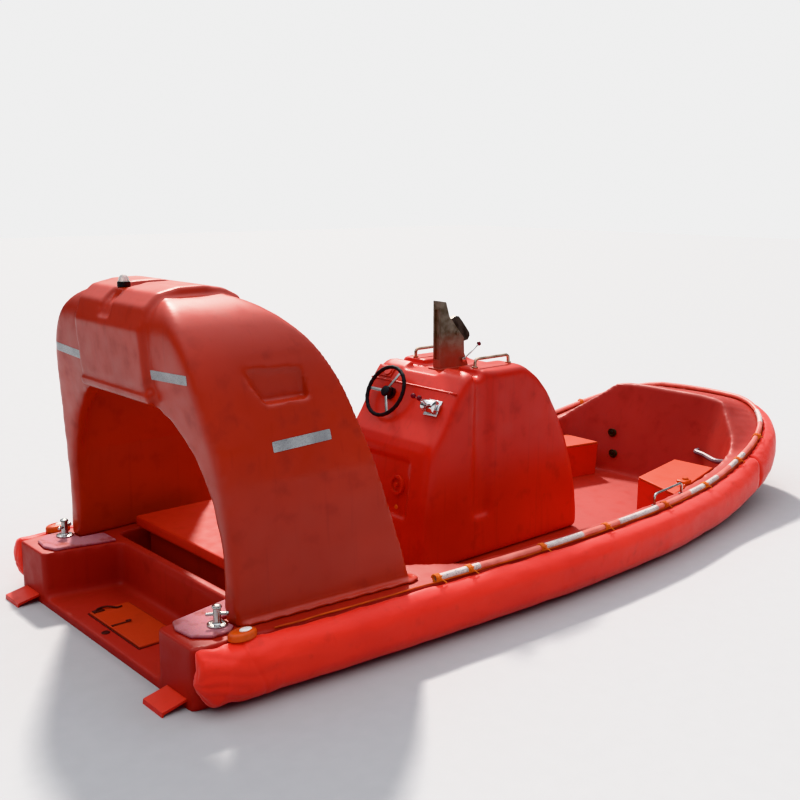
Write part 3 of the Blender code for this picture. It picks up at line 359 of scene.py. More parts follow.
@dataclass(frozen=True)
class Metal(Finish):
    """Bare metal: polished, brushed or cast, by its grain's size and depth."""

    grain: float = 0.004
    depth: float = 0.00008
    stained: str = "#6E5A48"

    def shape(self, coat: Coat) -> None:
        """Add grain, faint stains and uneven gloss.

        Args:
            coat: The nodes that it adds to.
        """
        blotches = coat.spots(0.03, 6.0)
        colour = coat.drift(self.colours, blotches, 0.35, 0.6)
        coat.feed("Base Color", coat.stain(colour, self.stained, coat.spots(0.012, 8.0), (0.62, 0.82, 0.45)))
        coat.vary_gloss(blotches, 0.7, max(self.roughness - 0.08, 0.04), self.roughness + 0.12)
        coat.feed("Normal", coat.add("Bevel", {"samples": 4}, {"Radius": 0.0015}).outputs["Normal"])
        coat.relief(coat.spots(self.grain, 3.0), self.depth)


@dataclass(frozen=True)
class FootedSteel(Metal):
    """Oiled steel whose foot is covered with red spray and dust from the moulding below it."""

    spray: str = "#A8473E"
    low: float = 1.35
    high: float = 1.60

    def shape(self, coat: Coat) -> None:
        """Add the bare metal, then the red foot over it.

        Args:
            coat: The nodes that it adds to.
        """
        super().shape(coat)
        height = coat.add("SeparateXYZ", links={0: coat.place()})
        ragged = coat.add("Math", {"operation": "MULTIPLY_ADD"}, {1: 0.16},
                          {0: coat.spots(0.03, 6.0), 2: height.outputs["Z"]})
        amount = coat.add("MapRange", values={"From Min": self.low, "From Max": self.high, "To Min": 0.95,
                                              "To Max": 0.0}, links={"Value": ragged.outputs[0]})
        bare_colour = coat.shader.inputs["Base Color"].links[0].from_socket
        mixed = coat.add("Mix", {"data_type": "RGBA"}, {"B": linear(self.spray)},
                         {"Factor": amount.outputs["Result"], "A": bare_colour})
        coat.feed("Base Color", mixed.outputs["Result"])
        bare = coat.add("Math", {"operation": "MULTIPLY_ADD"}, {1: -self.metallic, 2: self.metallic},
                        {0: amount.outputs["Result"]})
        coat.feed("Metallic", bare.outputs[0])


@dataclass(frozen=True)
class Tape(Finish):
    """Retroreflective tape: silver film over glass beads in small sealed cells."""

    seam: str = "#77757A"
    cell: float = 0.006

    def shape(self, coat: Coat) -> None:
        """Add the sealed cells and soiling.

        Args:
            coat: The nodes that it adds to.
        """
        cells = coat.add("TexVoronoi", {"feature": "DISTANCE_TO_EDGE"}, {"Scale": 1 / self.cell},
                         {"Vector": coat.place()})
        lines = coat.add("MapRange", values={"From Min": 0.02, "From Max": 0.10},
                         links={"Value": cells.outputs["Distance"]}).outputs["Result"]
        colour = coat.drift(self.colours, coat.spots(0.05, 6.0), 0.35, 0.6)
        mixed = coat.add("Mix", {"data_type": "RGBA"}, {"A": linear(self.seam)},
                         {"Factor": lines, "B": colour})
        coat.feed("Base Color", mixed.outputs["Result"])
        coat.relief(lines, 0.0002)


@dataclass(frozen=True)
class Lens(Finish):
    """Clear moulded polycarbonate, faintly frosted by ribs inside."""

    def shape(self, coat: Coat) -> None:
        """Let light through and add the ribs.

        Args:
            coat: The nodes that it adds to.
        """
        coat.shader.inputs["Transmission Weight"].default_value = 0.55
        coat.feed("Base Color", coat.drift(self.colours, coat.spots(0.02, 3.0), 0.3, 0.6))
        ribs = coat.add("TexWave", {"bands_direction": "Z"}, {"Scale": 60.0}, {"Vector": coat.place()})
        coat.relief(ribs.outputs["Fac"], 0.0006)


RED_GELCOAT = Gelcoat("red_gelcoat", "#D22E20", "#BC2418", 0.38, ior=1.46)
ARCH_GELCOAT = Gelcoat("arch_gelcoat", "#B43220", "#9A2818", 0.36, ior=1.46)
DECK_GELCOAT = Gelcoat("deck_gelcoat", "#A62C24", "#90201A", 0.52, ior=1.42, edge=0.008, gloss=0.06,
                       top_light_and_chalk="#AC3A2E")
BENCH_GELCOAT = Gelcoat("bench_gelcoat", "#C22C1E", "#AE2218", 0.56, ior=1.38, edge=0.008, gloss=0.0,
                        top_light_and_chalk="#CA3C22")
HATCH_GELCOAT = Gelcoat("hatch_gelcoat", "#B83A20", "#A02C18", 0.52, ior=1.42, edge=0.004, gloss=0.06,
                        top_light_and_chalk="#BC4020")
LID_GELCOAT = Gelcoat("lid_gelcoat", "#C6401F", "#B0341A", 0.52, ior=1.40, edge=0.008, gloss=0.04,
                      top_light_and_chalk="#D8552E")
RED_CLOTH = CoatedCloth("red_coated_cloth", "#F03C2C", "#E03022", 0.50)
PALE_TUBE = Finish("salmon_pvc_tube", "#EC8C80", "#DA7266", 0.38)
WHITE_BAND = Tape("white_reflective_band", "#E6DAD6", "#CDB9B4", 0.35)
SILVER_TAPE = Tape("silver_reflective_tape", "#B3B6B8", "#96989C", 0.32)
PALE_GRIT = GritSheet("pale_grit_sheet", "#B87880", "#A04A40", 0.85)
STAINLESS = Metal("polished_stainless_steel", "#C4C4C4", "#A5A4A2", 0.20, 1.0)
# Console handle tube: its pinkish-brown colour is a painted reflection of the red mouldings round it; its
# darker spots are stains.
STAINED_STAINLESS_PAINTED_REFLECTION = Metal("worn_stainless_tube", "#C9B2A2", "#A08878", 0.30, 1.0, stained="#7A4A38")
CHROME = Metal("chromed_brass", "#E2E3E4", "#C2C2C4", 0.08, 1.0)
HOOK_STEEL = Metal("oiled_cast_steel", "#5A5450", "#34302E", 0.42, 0.85, grain=0.003, depth=0.0003)
COLUMN_STEEL = FootedSteel("weathered_column_steel", "#8C8378", "#62594F", 0.48, 0.80, grain=0.003,
                           depth=0.0003)
CAST_ALUMINIUM = Metal("cast_aluminium", "#B4B5B4", "#92938F", 0.45, 1.0, grain=0.003, depth=0.0003)
GREY_PAINTED_BAR = Finish("grey_painted_bar", "#7E6A72", "#64525A", 0.45)
ENGINE_PAINT = Finish("grey_engine_enamel", "#4C5453", "#363C3B", 0.42)
BLACK_MOULDING = Finish("black_nylon_moulding", "#17171A", "#0F0F11", 0.5)
BLACK_GRIP = Finish("black_foam_grip", "#1C1B1D", "#121113", 0.72)
ORANGE_MOULDING = Finish("orange_abs_moulding", "#D8581F", "#B9431A", 0.38)
DARK_RED_KNOB = Finish("dark_red_phenolic_knob", "#6C1020", "#4E0A16", 0.22)
CLEAR_DOME = Lens("clear_polycarbonate_dome", "#F2F2F0", "#DADAD8", 0.12)
MILKY_LENS = Finish("milky_lamp_lens", "#EFEDEA", "#D5D0CC", 0.25)
LASHING_CORD = Finish("amber_braided_cord", "#E8843A", "#CC5E2A", 0.75)
LINE_CORD = Finish("orange_floating_line", "#D2561F", "#A83C14", 0.7)
DARK_OLIVE = Metal("dark_olive_fitting", "#3A2C20", "#221A14", 0.5, 0.5)
LATCH_PAINT = Finish("dark_latch_paint", "#4A1C14", "#2E110D", 0.5)
# A dark colour that paints the shadow in the gap round the well's hatch.
GAP_SHADOW_PAINT = Finish("painted_gap_shadow", "#5A1713", "#3A0E0C", 0.6)


# Modelling helpers


def deselect() -> None:
    """Leave edit mode and deselect every object."""
    if bpy.context.object is not None and bpy.context.object.mode != "OBJECT":
        bpy.ops.object.mode_set(mode="OBJECT")
    bpy.ops.object.select_all(action="DESELECT")


def activate(item: Item) -> None:
    """Select one object and make it the active one."""
    deselect()
    item.select_set(True)
    bpy.context.view_layer.objects.active = item


def settle(item: Item) -> None:
    """Move an object's place, turn and scale into its mesh."""
    activate(item)
    bpy.ops.object.transform_apply(location=True, rotation=True, scale=True)


def apply_modifier(item: Item, kind: str, **settings: object) -> None:
    """Add a modifier and apply it at once.

    Args:
        item: The piece.
        kind: The modifier's type name.
        settings: Its properties.
    """
    activate(item)
    step = item.modifiers.new("step", kind)
    for key, value in settings.items():
        setattr(step, key, value)
    bpy.ops.object.modifier_apply(modifier=step.name)


def smooth_shade(item: Item, angle: float = 35.0) -> None:
    """Shade a piece smooth up to an angle in degrees."""
    activate(item)
    bpy.ops.object.shade_smooth_by_angle(angle=math.radians(angle))


def outward(item: Item) -> None:
    """Merge doubles and turn all faces outwards.

    Args:
        item: The piece.
    """
    activate(item)
    bpy.ops.object.mode_set(mode="EDIT")
    bpy.ops.mesh.select_all(action="SELECT")
    bpy.ops.mesh.remove_doubles(threshold=0.00002)
    bpy.ops.mesh.normals_make_consistent(inside=False)
    bpy.ops.object.mode_set(mode="OBJECT")


def rounded_box(name: str, low: Point, high: Point, radius: float, segments: int = 3) -> Item:
    """Make a box with rounded edges.

    Args:
        name: The piece's name.
        low: Its lowest corner.
        high: Its highest corner.
        radius: Radius of the edges.
        segments: Faces across each rounded edge.

    Returns:
        The new object.
    """
    deselect()
    centre = (Vector(low) + Vector(high)) / 2
    size = Vector(high) - Vector(low)
    bpy.ops.mesh.primitive_cube_add(size=1.0, location=centre, scale=size)
    item = bpy.context.object
    item.name = name
    settle(item)
    bpy.ops.object.mode_set(mode="EDIT")
    bpy.ops.mesh.select_all(action="SELECT")
    bpy.ops.mesh.bevel(offset=radius, segments=segments, profile=0.5, affect="EDGES")
    bpy.ops.object.mode_set(mode="OBJECT")
    smooth_shade(item, 50)
    return item


def turn_to(axis: Vector) -> Matrix:
    """Return the turn that lays the upright axis along another."""
    return UP.rotation_difference(axis).to_matrix().to_4x4()


def turned(name: str, profile: Sequence[tuple[float, float]], foot: Point = (0, 0, 0), axis: Point = UP,
           sides: int = 32) -> Item:
    """Make a turned piece by extruding and scaling a disc along an axis.

    Args:
        name: The piece's name.
        profile: Pairs of (radius, height above the foot), from the foot to the top.
        foot: The centre of its foot.
        axis: The direction from its foot to its top.
        sides: Faces round it.

    Returns:
        The new object.
    """
    deselect()
    bpy.ops.mesh.primitive_circle_add(vertices=sides, radius=profile[0][0], fill_type="NGON")
    item = bpy.context.object
    item.name = name
    bpy.ops.object.mode_set(mode="EDIT")
    bpy.ops.mesh.select_all(action="SELECT")
    bpy.ops.transform.translate(value=(0, 0, profile[0][1]))
    for (radius, height), (next_radius, next_height) in zip(profile, profile[1:]):
        bpy.ops.mesh.extrude_region_move(TRANSFORM_OT_translate={"value": (0, 0, next_height - height)})
        scale = next_radius / radius
        bpy.ops.transform.resize(value=(scale, scale, 1.0), center_override=(0, 0, next_height))
    bpy.ops.object.mode_set(mode="OBJECT")
    item.matrix_world = Matrix.Translation(foot) @ turn_to(Vector(axis).normalized())
    settle(item)
    outward(item)
    smooth_shade(item, 32)
    return item


def pipe(name: str, points: Sequence[Point], radius: float, closed: bool = False,
         sides: int = 4) -> Item:
    """Make a round bar along a path.

    Args:
        name: The piece's name.
        points: The points of its centreline.
        radius: Radius of the bar.
        closed: True for a ring.
        sides: Bevel steps of a quarter turn.

    Returns:
        The new mesh object.
    """
    deselect()
    curve = bpy.data.curves.new(name, "CURVE")
    curve.dimensions = "3D"
    curve.bevel_depth = radius
    curve.bevel_resolution = sides
    curve.use_fill_caps = not closed
    spline = curve.splines.new("POLY")
    spline.points.add(len(points) - 1)
    for slot, point in zip(spline.points, points):
        slot.co = (*point, 1.0)
    spline.use_cyclic_u = closed
    item = bpy.data.objects.new(name, curve)
    bpy.context.scene.collection.objects.link(item)
    activate(item)
    bpy.ops.object.convert(target="MESH")
    item = bpy.context.object
    outward(item)
    smooth_shade(item, 40)
    return item


def joined(name: str, parts: Sequence[Item]) -> Item:
    """Join pieces of one finish into one object.

    Args:
        name: Name of the new piece.
        parts: The pieces.

    Returns:
        The joined object.
    """
    deselect()
    for part in parts:
        part.select_set(True)
    bpy.context.view_layer.objects.active = parts[0]
    if len(parts) > 1:
        bpy.ops.object.join()
    item = bpy.context.object
    item.name = name
    item.data.name = name
    return item


def copied(item: Item, name: str, matrix: Matrix) -> Item:
    """Copy a piece with its own mesh.

    Args:
        item: The piece.
        name: Name of the copy.
        matrix: The move of the copy's mesh; a mirrored one has its faces turned back.

    Returns:
        The copy.
    """
    twin = item.copy()
    twin.data = item.data.copy()
    twin.name = name
    twin.data.name = name
    bpy.context.scene.collection.objects.link(twin)
    if matrix != KEPT:
        twin.data.transform(matrix)
    if matrix.determinant() < 0:
        twin.data.flip_normals()
    return twin


KEPT = Matrix.Identity(4)
MIRROR = Matrix.Scale(-1.0, 4, (0, 1, 0))


def softened(node: Item, name: str, voxel: float, passes: int,
             cutters: Sequence[Item] = (),
             wide: Optional[Callable[[Vector], float]] = None) -> Item:
    """Copy a CAD solid and round its edges as a mould does.

    Args:
        node: The CAD node's object.
        name: Name of the new piece.
        voxel: Size of the remesh cells, in metres.
        passes: Rounds of smoothing; more rounds give softer edges.
        cutters: Shapes that are cut from it first and then deleted.
        wide: Share, from 0 to 1, in which a place takes part in a much wider rounding.

    Returns:
        The new object.
    """
    item = copied(node, name, KEPT)
    item.parent = None
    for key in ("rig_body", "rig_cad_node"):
        if key in item:
            del item[key]
    outward(item)
    for cutter in cutters:
        apply_modifier(item, "BOOLEAN", operation="DIFFERENCE", solver="EXACT", object=cutter)
        bpy.data.objects.remove(cutter)
    apply_modifier(item, "REMESH", mode="VOXEL", voxel_size=voxel)
    apply_modifier(item, "SMOOTH", factor=0.5, iterations=passes)
    if wide is not None:
        group = item.vertex_groups.new(name="wide")
        for vertex in item.data.vertices:
            share = wide(vertex.co)
            if share > 0.0:
                group.add([vertex.index], share, "REPLACE")
        apply_modifier(item, "SMOOTH", factor=0.5, iterations=70, vertex_group="wide")
        item.vertex_groups.clear()
    activate(item)
    bpy.ops.object.shade_smooth()
    return item


def dress(item: Item, finish: Finish, body: str) -> Item:
    """Give a piece its finish and its place in the record.

    Args:
        item: The piece.
        finish: Its finish.
        body: The body that it rides on.

    Returns:
        The piece.
    """
    item.data.materials.clear()
    item.data.materials.append(finish.make())
    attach(item, body)
    return item


def smooth_path(chain: Sequence[Vector], steps: int) -> list[Vector]:
    """Run a smooth curve through a chain of points.

    Args:
        chain: The points, with one guide point before the first and one after the last.
        steps: Points on each stretch.

    Returns:
        The curve's points.
    """
    path = []
    for a, b, c, d in zip(chain, chain[1:], chain[2:], chain[3:]):
        for t in (k / steps for k in range(steps)):
            path.append(0.5 * (2 * b + (c - a) * t + (2 * a - 5 * b + 4 * c - d) * t * t
                               + (3 * b - a - 3 * c + d) * t ** 3))
    path.append(chain[-2])
    return path


def curved(points: Sequence[Point]) -> list[Vector]:
    """Return points on a smooth curve through the given ones."""
    given = [Vector(p) for p in points]
    return smooth_path([given[0] * 2 - given[1], *given, given[-1] * 2 - given[-2]], 6)


def share(value: float) -> float:
    """Keep a value between 0 and 1."""
    return min(max(value, 0.0), 1.0)


class Side(Enum):
    """The two sides of the boat, with the sign of Y."""

    PORT = 1
    STARBOARD = -1

    @property
    def word(self) -> str:
        """Return the side's name in small letters."""
        return self.name.lower()


def both_sides(item: Item, name: str, finish: Finish, node: str, first: bool = True) -> None:
    """Dress a port piece and its mirrored copy on the other side.

    Args:
        item: The port piece.
        name: The pieces' name without its side.
        finish: Their finish.
        node: The CAD nodes' name without its side.
        first: True for the piece that replaces the node.
    """
    item.name = f"port_{name}"
    pieces = (item, copied(item, f"starboard_{name}", MIRROR))
    for side, piece in zip(Side, pieces):
        dress(piece, finish, "boat")
        if first:
            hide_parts(f"{side.word}_{node}")


# Sub-assemblies


@dataclass
class Gunwale:
    """Plan of the boat's edge: the outer fender line of the port side, from the quarter to the bow."""

    outline: tuple[tuple[float, float], ...] = (
        (-2.95, 1.16), (-2.40, 1.225), (-1.45, 1.30), (-0.40, 1.355), (0.60, 1.335), (1.40, 1.235),
        (2.00, 1.14), (2.42, 1.045), (2.76, 0.885), (3.00, 0.64), (3.12, 0.33), (3.16, 0.0))
    deck: float = 0.33
    rise: float = 0.355
    rise_from: float = 1.25
    rise_to: float = 2.96
    rail_inset: float = 0.135
    samples: int = 12

    def height(self, x: float) -> float:
        """Return the gunwale's height at a station."""
        run = share((x - self.rise_from) / (self.rise_to - self.rise_from))
        return self.deck + self.rise * run ** 1.8

    def line(self, inset: float, lift: float, first_x: float, last_x: float = 9.0) -> list[Vector]:
        """Return a line along the port gunwale.

        Args:
            inset: Distance inside the outer fender line.
            lift: Height over the gunwale.
            first_x: Station where the line starts.
            last_x: Station where it ends; past the bow it ends on the centreline.

        Returns:
            Points from aft to forward.
        """
        given = [Vector((x, y, 0)) for x, y in self.outline]
        beyond = Vector((given[-2].x, -given[-2].y, 0))
        path = smooth_path([given[0] * 2 - given[1], *given, beyond], self.samples)
        points = []
        for i, spot in enumerate(path):
            ahead, behind = path[min(i + 1, len(path) - 1)], path[max(i - 1, 0)]
            along = (ahead - behind).normalized()
            inward = Vector((along.y, -along.x, 0)) if spot is not path[-1] else Vector((-1, 0, 0))
            moved = spot + inward * inset
            moved.z = self.height((spot + inward * self.rail_inset).x) + lift
            if first_x <= moved.x <= last_x:
                points.append(moved)
        return points


@dataclass
class Rail:
    """Gunwale rail: a pale tube with white bands, lashed down with amber cord."""

    gunwale: Gunwale
    radius: float = 0.020
    cord: float = 0.0042
    first_x: float = -1.515
    split_x: float = 2.24
    lashings: tuple[float, ...] = (-1.50, -1.20, -0.60, 0.02, 0.72, 1.35, 1.95, 2.40)
    bands: tuple[tuple[float, float], ...] = (
        (-1.47, -1.12), (-0.57, -0.22), (0.16, 0.62), (1.10, 1.57), (1.80, 2.08), (2.62, 2.80))

    def build(self) -> None:
        """Make the tube, its bands, its lashings and the line beside it."""
        whole = self.gunwale.line(self.gunwale.rail_inset, self.radius + 0.0008, self.first_x)
        split = max(i for i, p in enumerate(whole) if p.x <= self.split_x)
        for side, flip in zip(Side, (KEPT, MIRROR)):
            tube = pipe(f"{side.word}_rail_tube", [flip @ p for p in whole[:split + 1]], self.radius, sides=6)
            dress(tube, PALE_TUBE, "boat")
            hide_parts(f"{side.word}_rail", f"{side.word}_aft_rail")
        bow = pipe("bow_rail_tube", self.round_bow(whole[split:]), self.radius, sides=6)
        dress(bow, PALE_TUBE, "boat")
        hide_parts("bow_rail")
        self.add_bands(whole)
        self.add_lashings(whole)
        self.add_line()

    def round_bow(self, path: list[Vector]) -> list[Vector]:
        """Return a port path that goes on round the bow and back along the other side."""
        return path + [MIRROR @ p for p in reversed(path[:-1])]

    def spot(self, path: Sequence[Vector], x: float) -> tuple[Vector, Vector]:
        """Find a station on the rail.

        Args:
            path: The rail's centreline.
            x: The station.

        Returns:
            The point there and the rail's direction.
        """
        for a, b in zip(path, path[1:]):
            if a.x <= x <= b.x:
                return a.lerp(b, (x - a.x) / (b.x - a.x)), (b - a).normalized()
        return path[0], (path[1] - path[0]).normalized()

    def add_bands(self, path: Sequence[Vector]) -> None:
        """Wrap white reflective bands round the tube.

        Args:
            path: The rail's centreline.
        """
        bands = []
        for first, last in self.bands:
            stations = [first + (last - first) * k / 8 for k in range(9)]
            for flip in (KEPT, MIRROR):
                ends = [flip @ self.spot(path, x)[0] for x in stations]
                bands.append(pipe("band", ends, self.radius + 0.0009, sides=6))
        dress(joined("rail_reflective_bands", bands), WHITE_BAND, "boat")

    def lashing(self, centre: Vector, along: Vector) -> Item:
        """Wind cord round the rail, with a knot and two short ends.

        Args:
            centre: The rail's centre there.
            along: The rail's direction there.

        Returns:
            The cord.
        """
        across = Vector((along.y, -along.x, 0)).normalized()
        reach, cord = self.radius + 0.004, self.cord
        winding = []
        turns, steps = 4, 14
        for k in range(turns * steps + 1):
            angle = 2 * math.pi * k / steps
            run = (k / (turns * steps) - 0.5) * turns * cord * 2.1
            winding.append(centre + along * run + (across * math.cos(angle) + UP * math.sin(angle)) * reach)
        knot = []
        heart = centre - across * (reach + 0.002) + UP * 0.012
        for t in (2 * math.pi * k / 24 for k in range(24)):
            x, y = math.sin(t) + 2 * math.sin(2 * t), math.cos(t) - 2 * math.cos(2 * t)
            z = -math.sin(3 * t)
            knot.append(heart + along * x * 0.0052 + UP * y * 0.0052 - across * (z * 0.005 + 0.004))
        tail = [heart, heart - across * 0.018 - UP * 0.012 + along * 0.012,
                heart - across * 0.030 - UP * 0.030 + along * 0.030]
        return joined("lashing", [pipe("lashing", winding, cord, sides=2),
                                  pipe("knot", knot, cord * 0.85, closed=True, sides=2),
                                  pipe("tail", curved(tail), cord * 0.8, sides=2)])

    def add_lashings(self, path: Sequence[Vector]) -> None:
        """Put lashings along both sides and round the bow.

        Args:
            path: The rail's centreline.
        """
        parts = []
        for x in self.lashings:
            one = self.lashing(*self.spot(path, x))
            parts.extend((copied(one, "lashing", MIRROR), one))
        dress(joined("rail_lashings", parts), LASHING_CORD, "boat")

    def add_line(self) -> None:
        """Lay the thin orange line in the corner between gunwale and fender."""
        points = self.gunwale.line(0.117, 0.0062, -2.55)
        for i, point in enumerate(points):
            point.z += 0.0012 * math.sin(i * 1.7)
            point.y += 0.002 * math.sin(i * 0.9) if point.y > 0.1 else 0.0
        dress(pipe("gunwale_line", self.round_bow(points), 0.0048, sides=2), LINE_CORD, "boat")


@dataclass
class Fender:
    """Foam fender in a coated cloth cover, gathered at its closed ends."""

    stern: float = -2.95
    voxel: float = 0.018
    held_inset: float = 0.104
    held_reach: float = 0.018
    pressure: float = 3.0
    slack: float = 0.035
    cap: float = 0.012
    fold_length: float = 0.42
    fold_depth: float = 0.006

    def build(self, nodes: dict) -> None:
        """Make the three lengths of the fender.

        Args:
            nodes: The CAD nodes by name.
        """
        for name in ("port_fender", "bow_fender", "starboard_fender"):
            cover = softened(nodes[name], name + "_cover", self.voxel, 3)
            self.inflate(cover, name)
            apply_modifier(cover, "SUBSURF", levels=1, render_levels=1)
            self.wrinkle(cover)
            activate(cover)
            bpy.ops.object.shade_smooth()
            dress(cover, RED_CLOTH, "boat")
            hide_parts(name)
            LOG.info("%s: %d faces", cover.name, len(cover.data.polygons))

    def inflate(self, cover: Item, node: str) -> None:
        """Let the cloth cover swell and buckle on its foam, held along the hull.

        Args:
            cover: The cover.
            node: The name of its CAD node.
        """
        rest = [v.co.copy() for v in cover.data.vertices]
        held = cover.vertex_groups.new(name="held")
        loose = cover.vertex_groups.new(name="slack")
        inner = Gunwale().line(self.held_inset, 0.0, -9.0)
        for i, spot in enumerate(rest):
            near = min(((spot.x - p.x) ** 2 + (abs(spot.y) - p.y) ** 2) for p in inner)
            if near < self.held_reach ** 2:
                held.add([i], 1.0, "REPLACE")
            end = max(0.0, 1.0 - (spot.x - self.stern) / 0.35) if node != "bow_fender" else 0.15
            loose.add([i], min(1.0, 0.35 + end), "REPLACE")
        step = cover.modifiers.new("cloth", "CLOTH")
        cloth = step.settings
        cloth.quality = 4
        cloth.mass = 0.3
        cloth.tension_stiffness = cloth.compression_stiffness = 20
        cloth.bending_stiffness = 0.4
        cloth.use_pressure = True
        cloth.uniform_pressure_force = self.pressure
        cloth.effector_weights.gravity = 0.0
        cloth.vertex_group_mass = "held"
        cloth.vertex_group_shrink = "slack"
        cloth.shrink_min = 0.0
        cloth.shrink_max = -self.slack
        step.collision_settings.use_collision = False
        for frame in range(1, 21):
            bpy.context.scene.frame_set(frame)
        activate(cover)
        bpy.ops.object.modifier_apply(modifier=step.name)
        bpy.context.scene.frame_set(1)
        for vertex, start in zip(cover.data.vertices, rest):
            move = vertex.co - start
            if move.length > self.cap:
                vertex.co = start + move.normalized() * self.cap
        apply_modifier(cover, "SMOOTH", factor=0.5, iterations=2)

    def wrinkle(self, cover: Item) -> None:
        """Fold the cloth over the stern ends, and crease it softly along the cover.

        Args:
            cover: The cover.
        """
        mesh = cover.data
        moves = []
        for vertex in mesh.vertices:
            co, normal = vertex.co, vertex.normal
            end = share(1.0 - (co.x - self.stern) / self.fold_length)
            turn = math.atan2(co.z - 0.17, abs(co.y) - 1.10)
            lean = turn * 5 + (co.x - self.stern) * 9 + noise.noise(co * 5) * 1.6
            fold = (abs(math.sin(lean)) - 0.55) * end ** 0.8 * self.fold_depth
            bent = co * 6.5 + noise.noise_vector(co * 3.0) * 0.9
            ridge = (noise.voronoi(bent)[0][0] - 0.38) * end ** 0.6 * 0.034
            seam = -0.004 * math.exp(-((co.x + 2.66 + 0.05 * math.sin(turn)) / 0.010) ** 2)
            crease = noise.noise(Vector((co.x * 7.0, co.y * 7.0, co.z * 22.0))) * 0.0022
            run = noise.noise(Vector((co.x * 2.2, co.y * 2.2, co.z * 11.0 + 4.0)))
            long_crease = (0.5 - abs(run)) * 0.004
            hollow = noise.noise(Vector((co.x * 1.6, co.y * 1.6, co.z * 4.0))) * 0.003
            moves.append(co + normal * (fold + ridge + seam + crease + long_crease + hollow))
        for vertex, spot in zip(mesh.vertices, moves):
            vertex.co = spot
        mesh.update()


@dataclass
class Shells:
    """Moulded glass-fibre parts: hull, arch and console, with their edges softened."""

    hull_voxel: float = 0.022
    arch_voxel: float = 0.0125
    console_voxel: float = 0.0135

    def build(self, nodes: dict) -> None:
        """Make the three mouldings.

        Args:
            nodes: The CAD nodes by name.
        """
        for name, voxel, passes, finish, wide in (
                ("hull_shell", self.hull_voxel, 2, DECK_GELCOAT, None),
                ("arch_shell", self.arch_voxel, 6, ARCH_GELCOAT, self.arch_shoulder),
                ("console_body", self.console_voxel, 6, RED_GELCOAT, self.console_shoulder)):
            piece = softened(nodes[name], name.split("_")[0] + "_moulding", voxel, passes, self.cuts(name),
                             wide)
            dress(piece, finish, "boat")
            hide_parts(name)
            LOG.info("%s: %d faces", piece.name, len(piece.data.polygons))

    def cuts(self, name: str) -> list[Item]:
        """Make the shapes that are cut from a moulding before its edges are softened.

        Args:
            name: The name of its CAD node.

        Returns:
            The shapes.
        """
        if name != "console_body":
            return []
        # The side grooves run on over the shoulders into the channel on top.
        return [rounded_box("saddle", (-0.415, low, 1.266), (-0.312, high, 1.5), 0.02)
                for low, high in ((-0.6, -0.12), (0.12, 0.6))]

    def arch_shoulder(self, place: Vector) -> float:
        """Fade the wide rounding of the arch's aft corners.

        Args:
            place: A point of the arch.

        Returns:
            Its share in the rounding, from 0 to 1.
        """
        aft = share((-2.42 - place.x) / 0.12)
        top = share((place.z - 1.69) / 0.12) * share((-1.98 - place.x) / 0.25)
        out = share((abs(place.y) - 0.47) / 0.14)
        foot = share((place.z - 0.42) / 0.25)
        return max(aft, top) * out * foot

    def console_shoulder(self, place: Vector) -> float:
        """Return a point's share in the wide rounding of the console's sides."""
        return share((abs(place.y) - 0.34) / 0.05) * share((place.z - 0.25) / 0.25) * 0.5


@dataclass
class ArchStrips:
    """Reflective tape strips on the arch."""

    thickness: float = 0.0012

    def build(self, arch: Item) -> None:
        """Lay four strips on the arch's aft face and sides.

        Args:
            arch: The moulding that they lie on.
        """
        for side in Side:
            sign = side.value
            self.strip(arch, f"{side.word}_aft_strip", (-2.90, sign * 0.58, 1.576), (0.36, 0.055),
                       (1, 0, 0), (0, 1, 0.05 * sign))
            self.strip(arch, f"{side.word}_side_strip", (-2.20, sign * 1.15, 1.264), (0.36, 0.062),
                       (0, -sign, -0.16), (1, 0, 0.05))

    def strip(self, arch: Item, name: str, centre: Point, size: tuple[float, float],
              inward: Point, along: Point) -> None:
        """Press one strip of tape onto the arch.

        Args:
            arch: The moulding that it lies on.
            name: The strip's name.
            centre: Its middle, a little outside the arch.
            size: Its length and width.
            inward: Direction from the tape to the arch.
            along: Direction of its length.
        """
        deselect()
        bpy.ops.mesh.primitive_grid_add(x_subdivisions=24, y_subdivisions=5, size=1.0)
        item = bpy.context.object
        item.name = name
        x = Vector(along).normalized()
        z = -Vector(inward).normalized()
        y = z.cross(x).normalized()
        x = y.cross(z).normalized()
        turn = Matrix((x, y, z)).transposed().to_4x4()
        item.matrix_world = Matrix.Translation(centre) @ turn @ Matrix.Diagonal((size[0], size[1], 1, 1))
        settle(item)
        for vertex in item.data.vertices:
            hit, spot, normal, _ = arch.ray_cast(vertex.co, Vector(inward).normalized())
            if hit:
                vertex.co = spot + normal * 0.0006
        apply_modifier(item, "SMOOTH", factor=0.5, iterations=3)
        apply_modifier(item, "SOLIDIFY", thickness=self.thickness, offset=1.0)
        outward(item)
        dress(item, SILVER_TAPE, "boat")


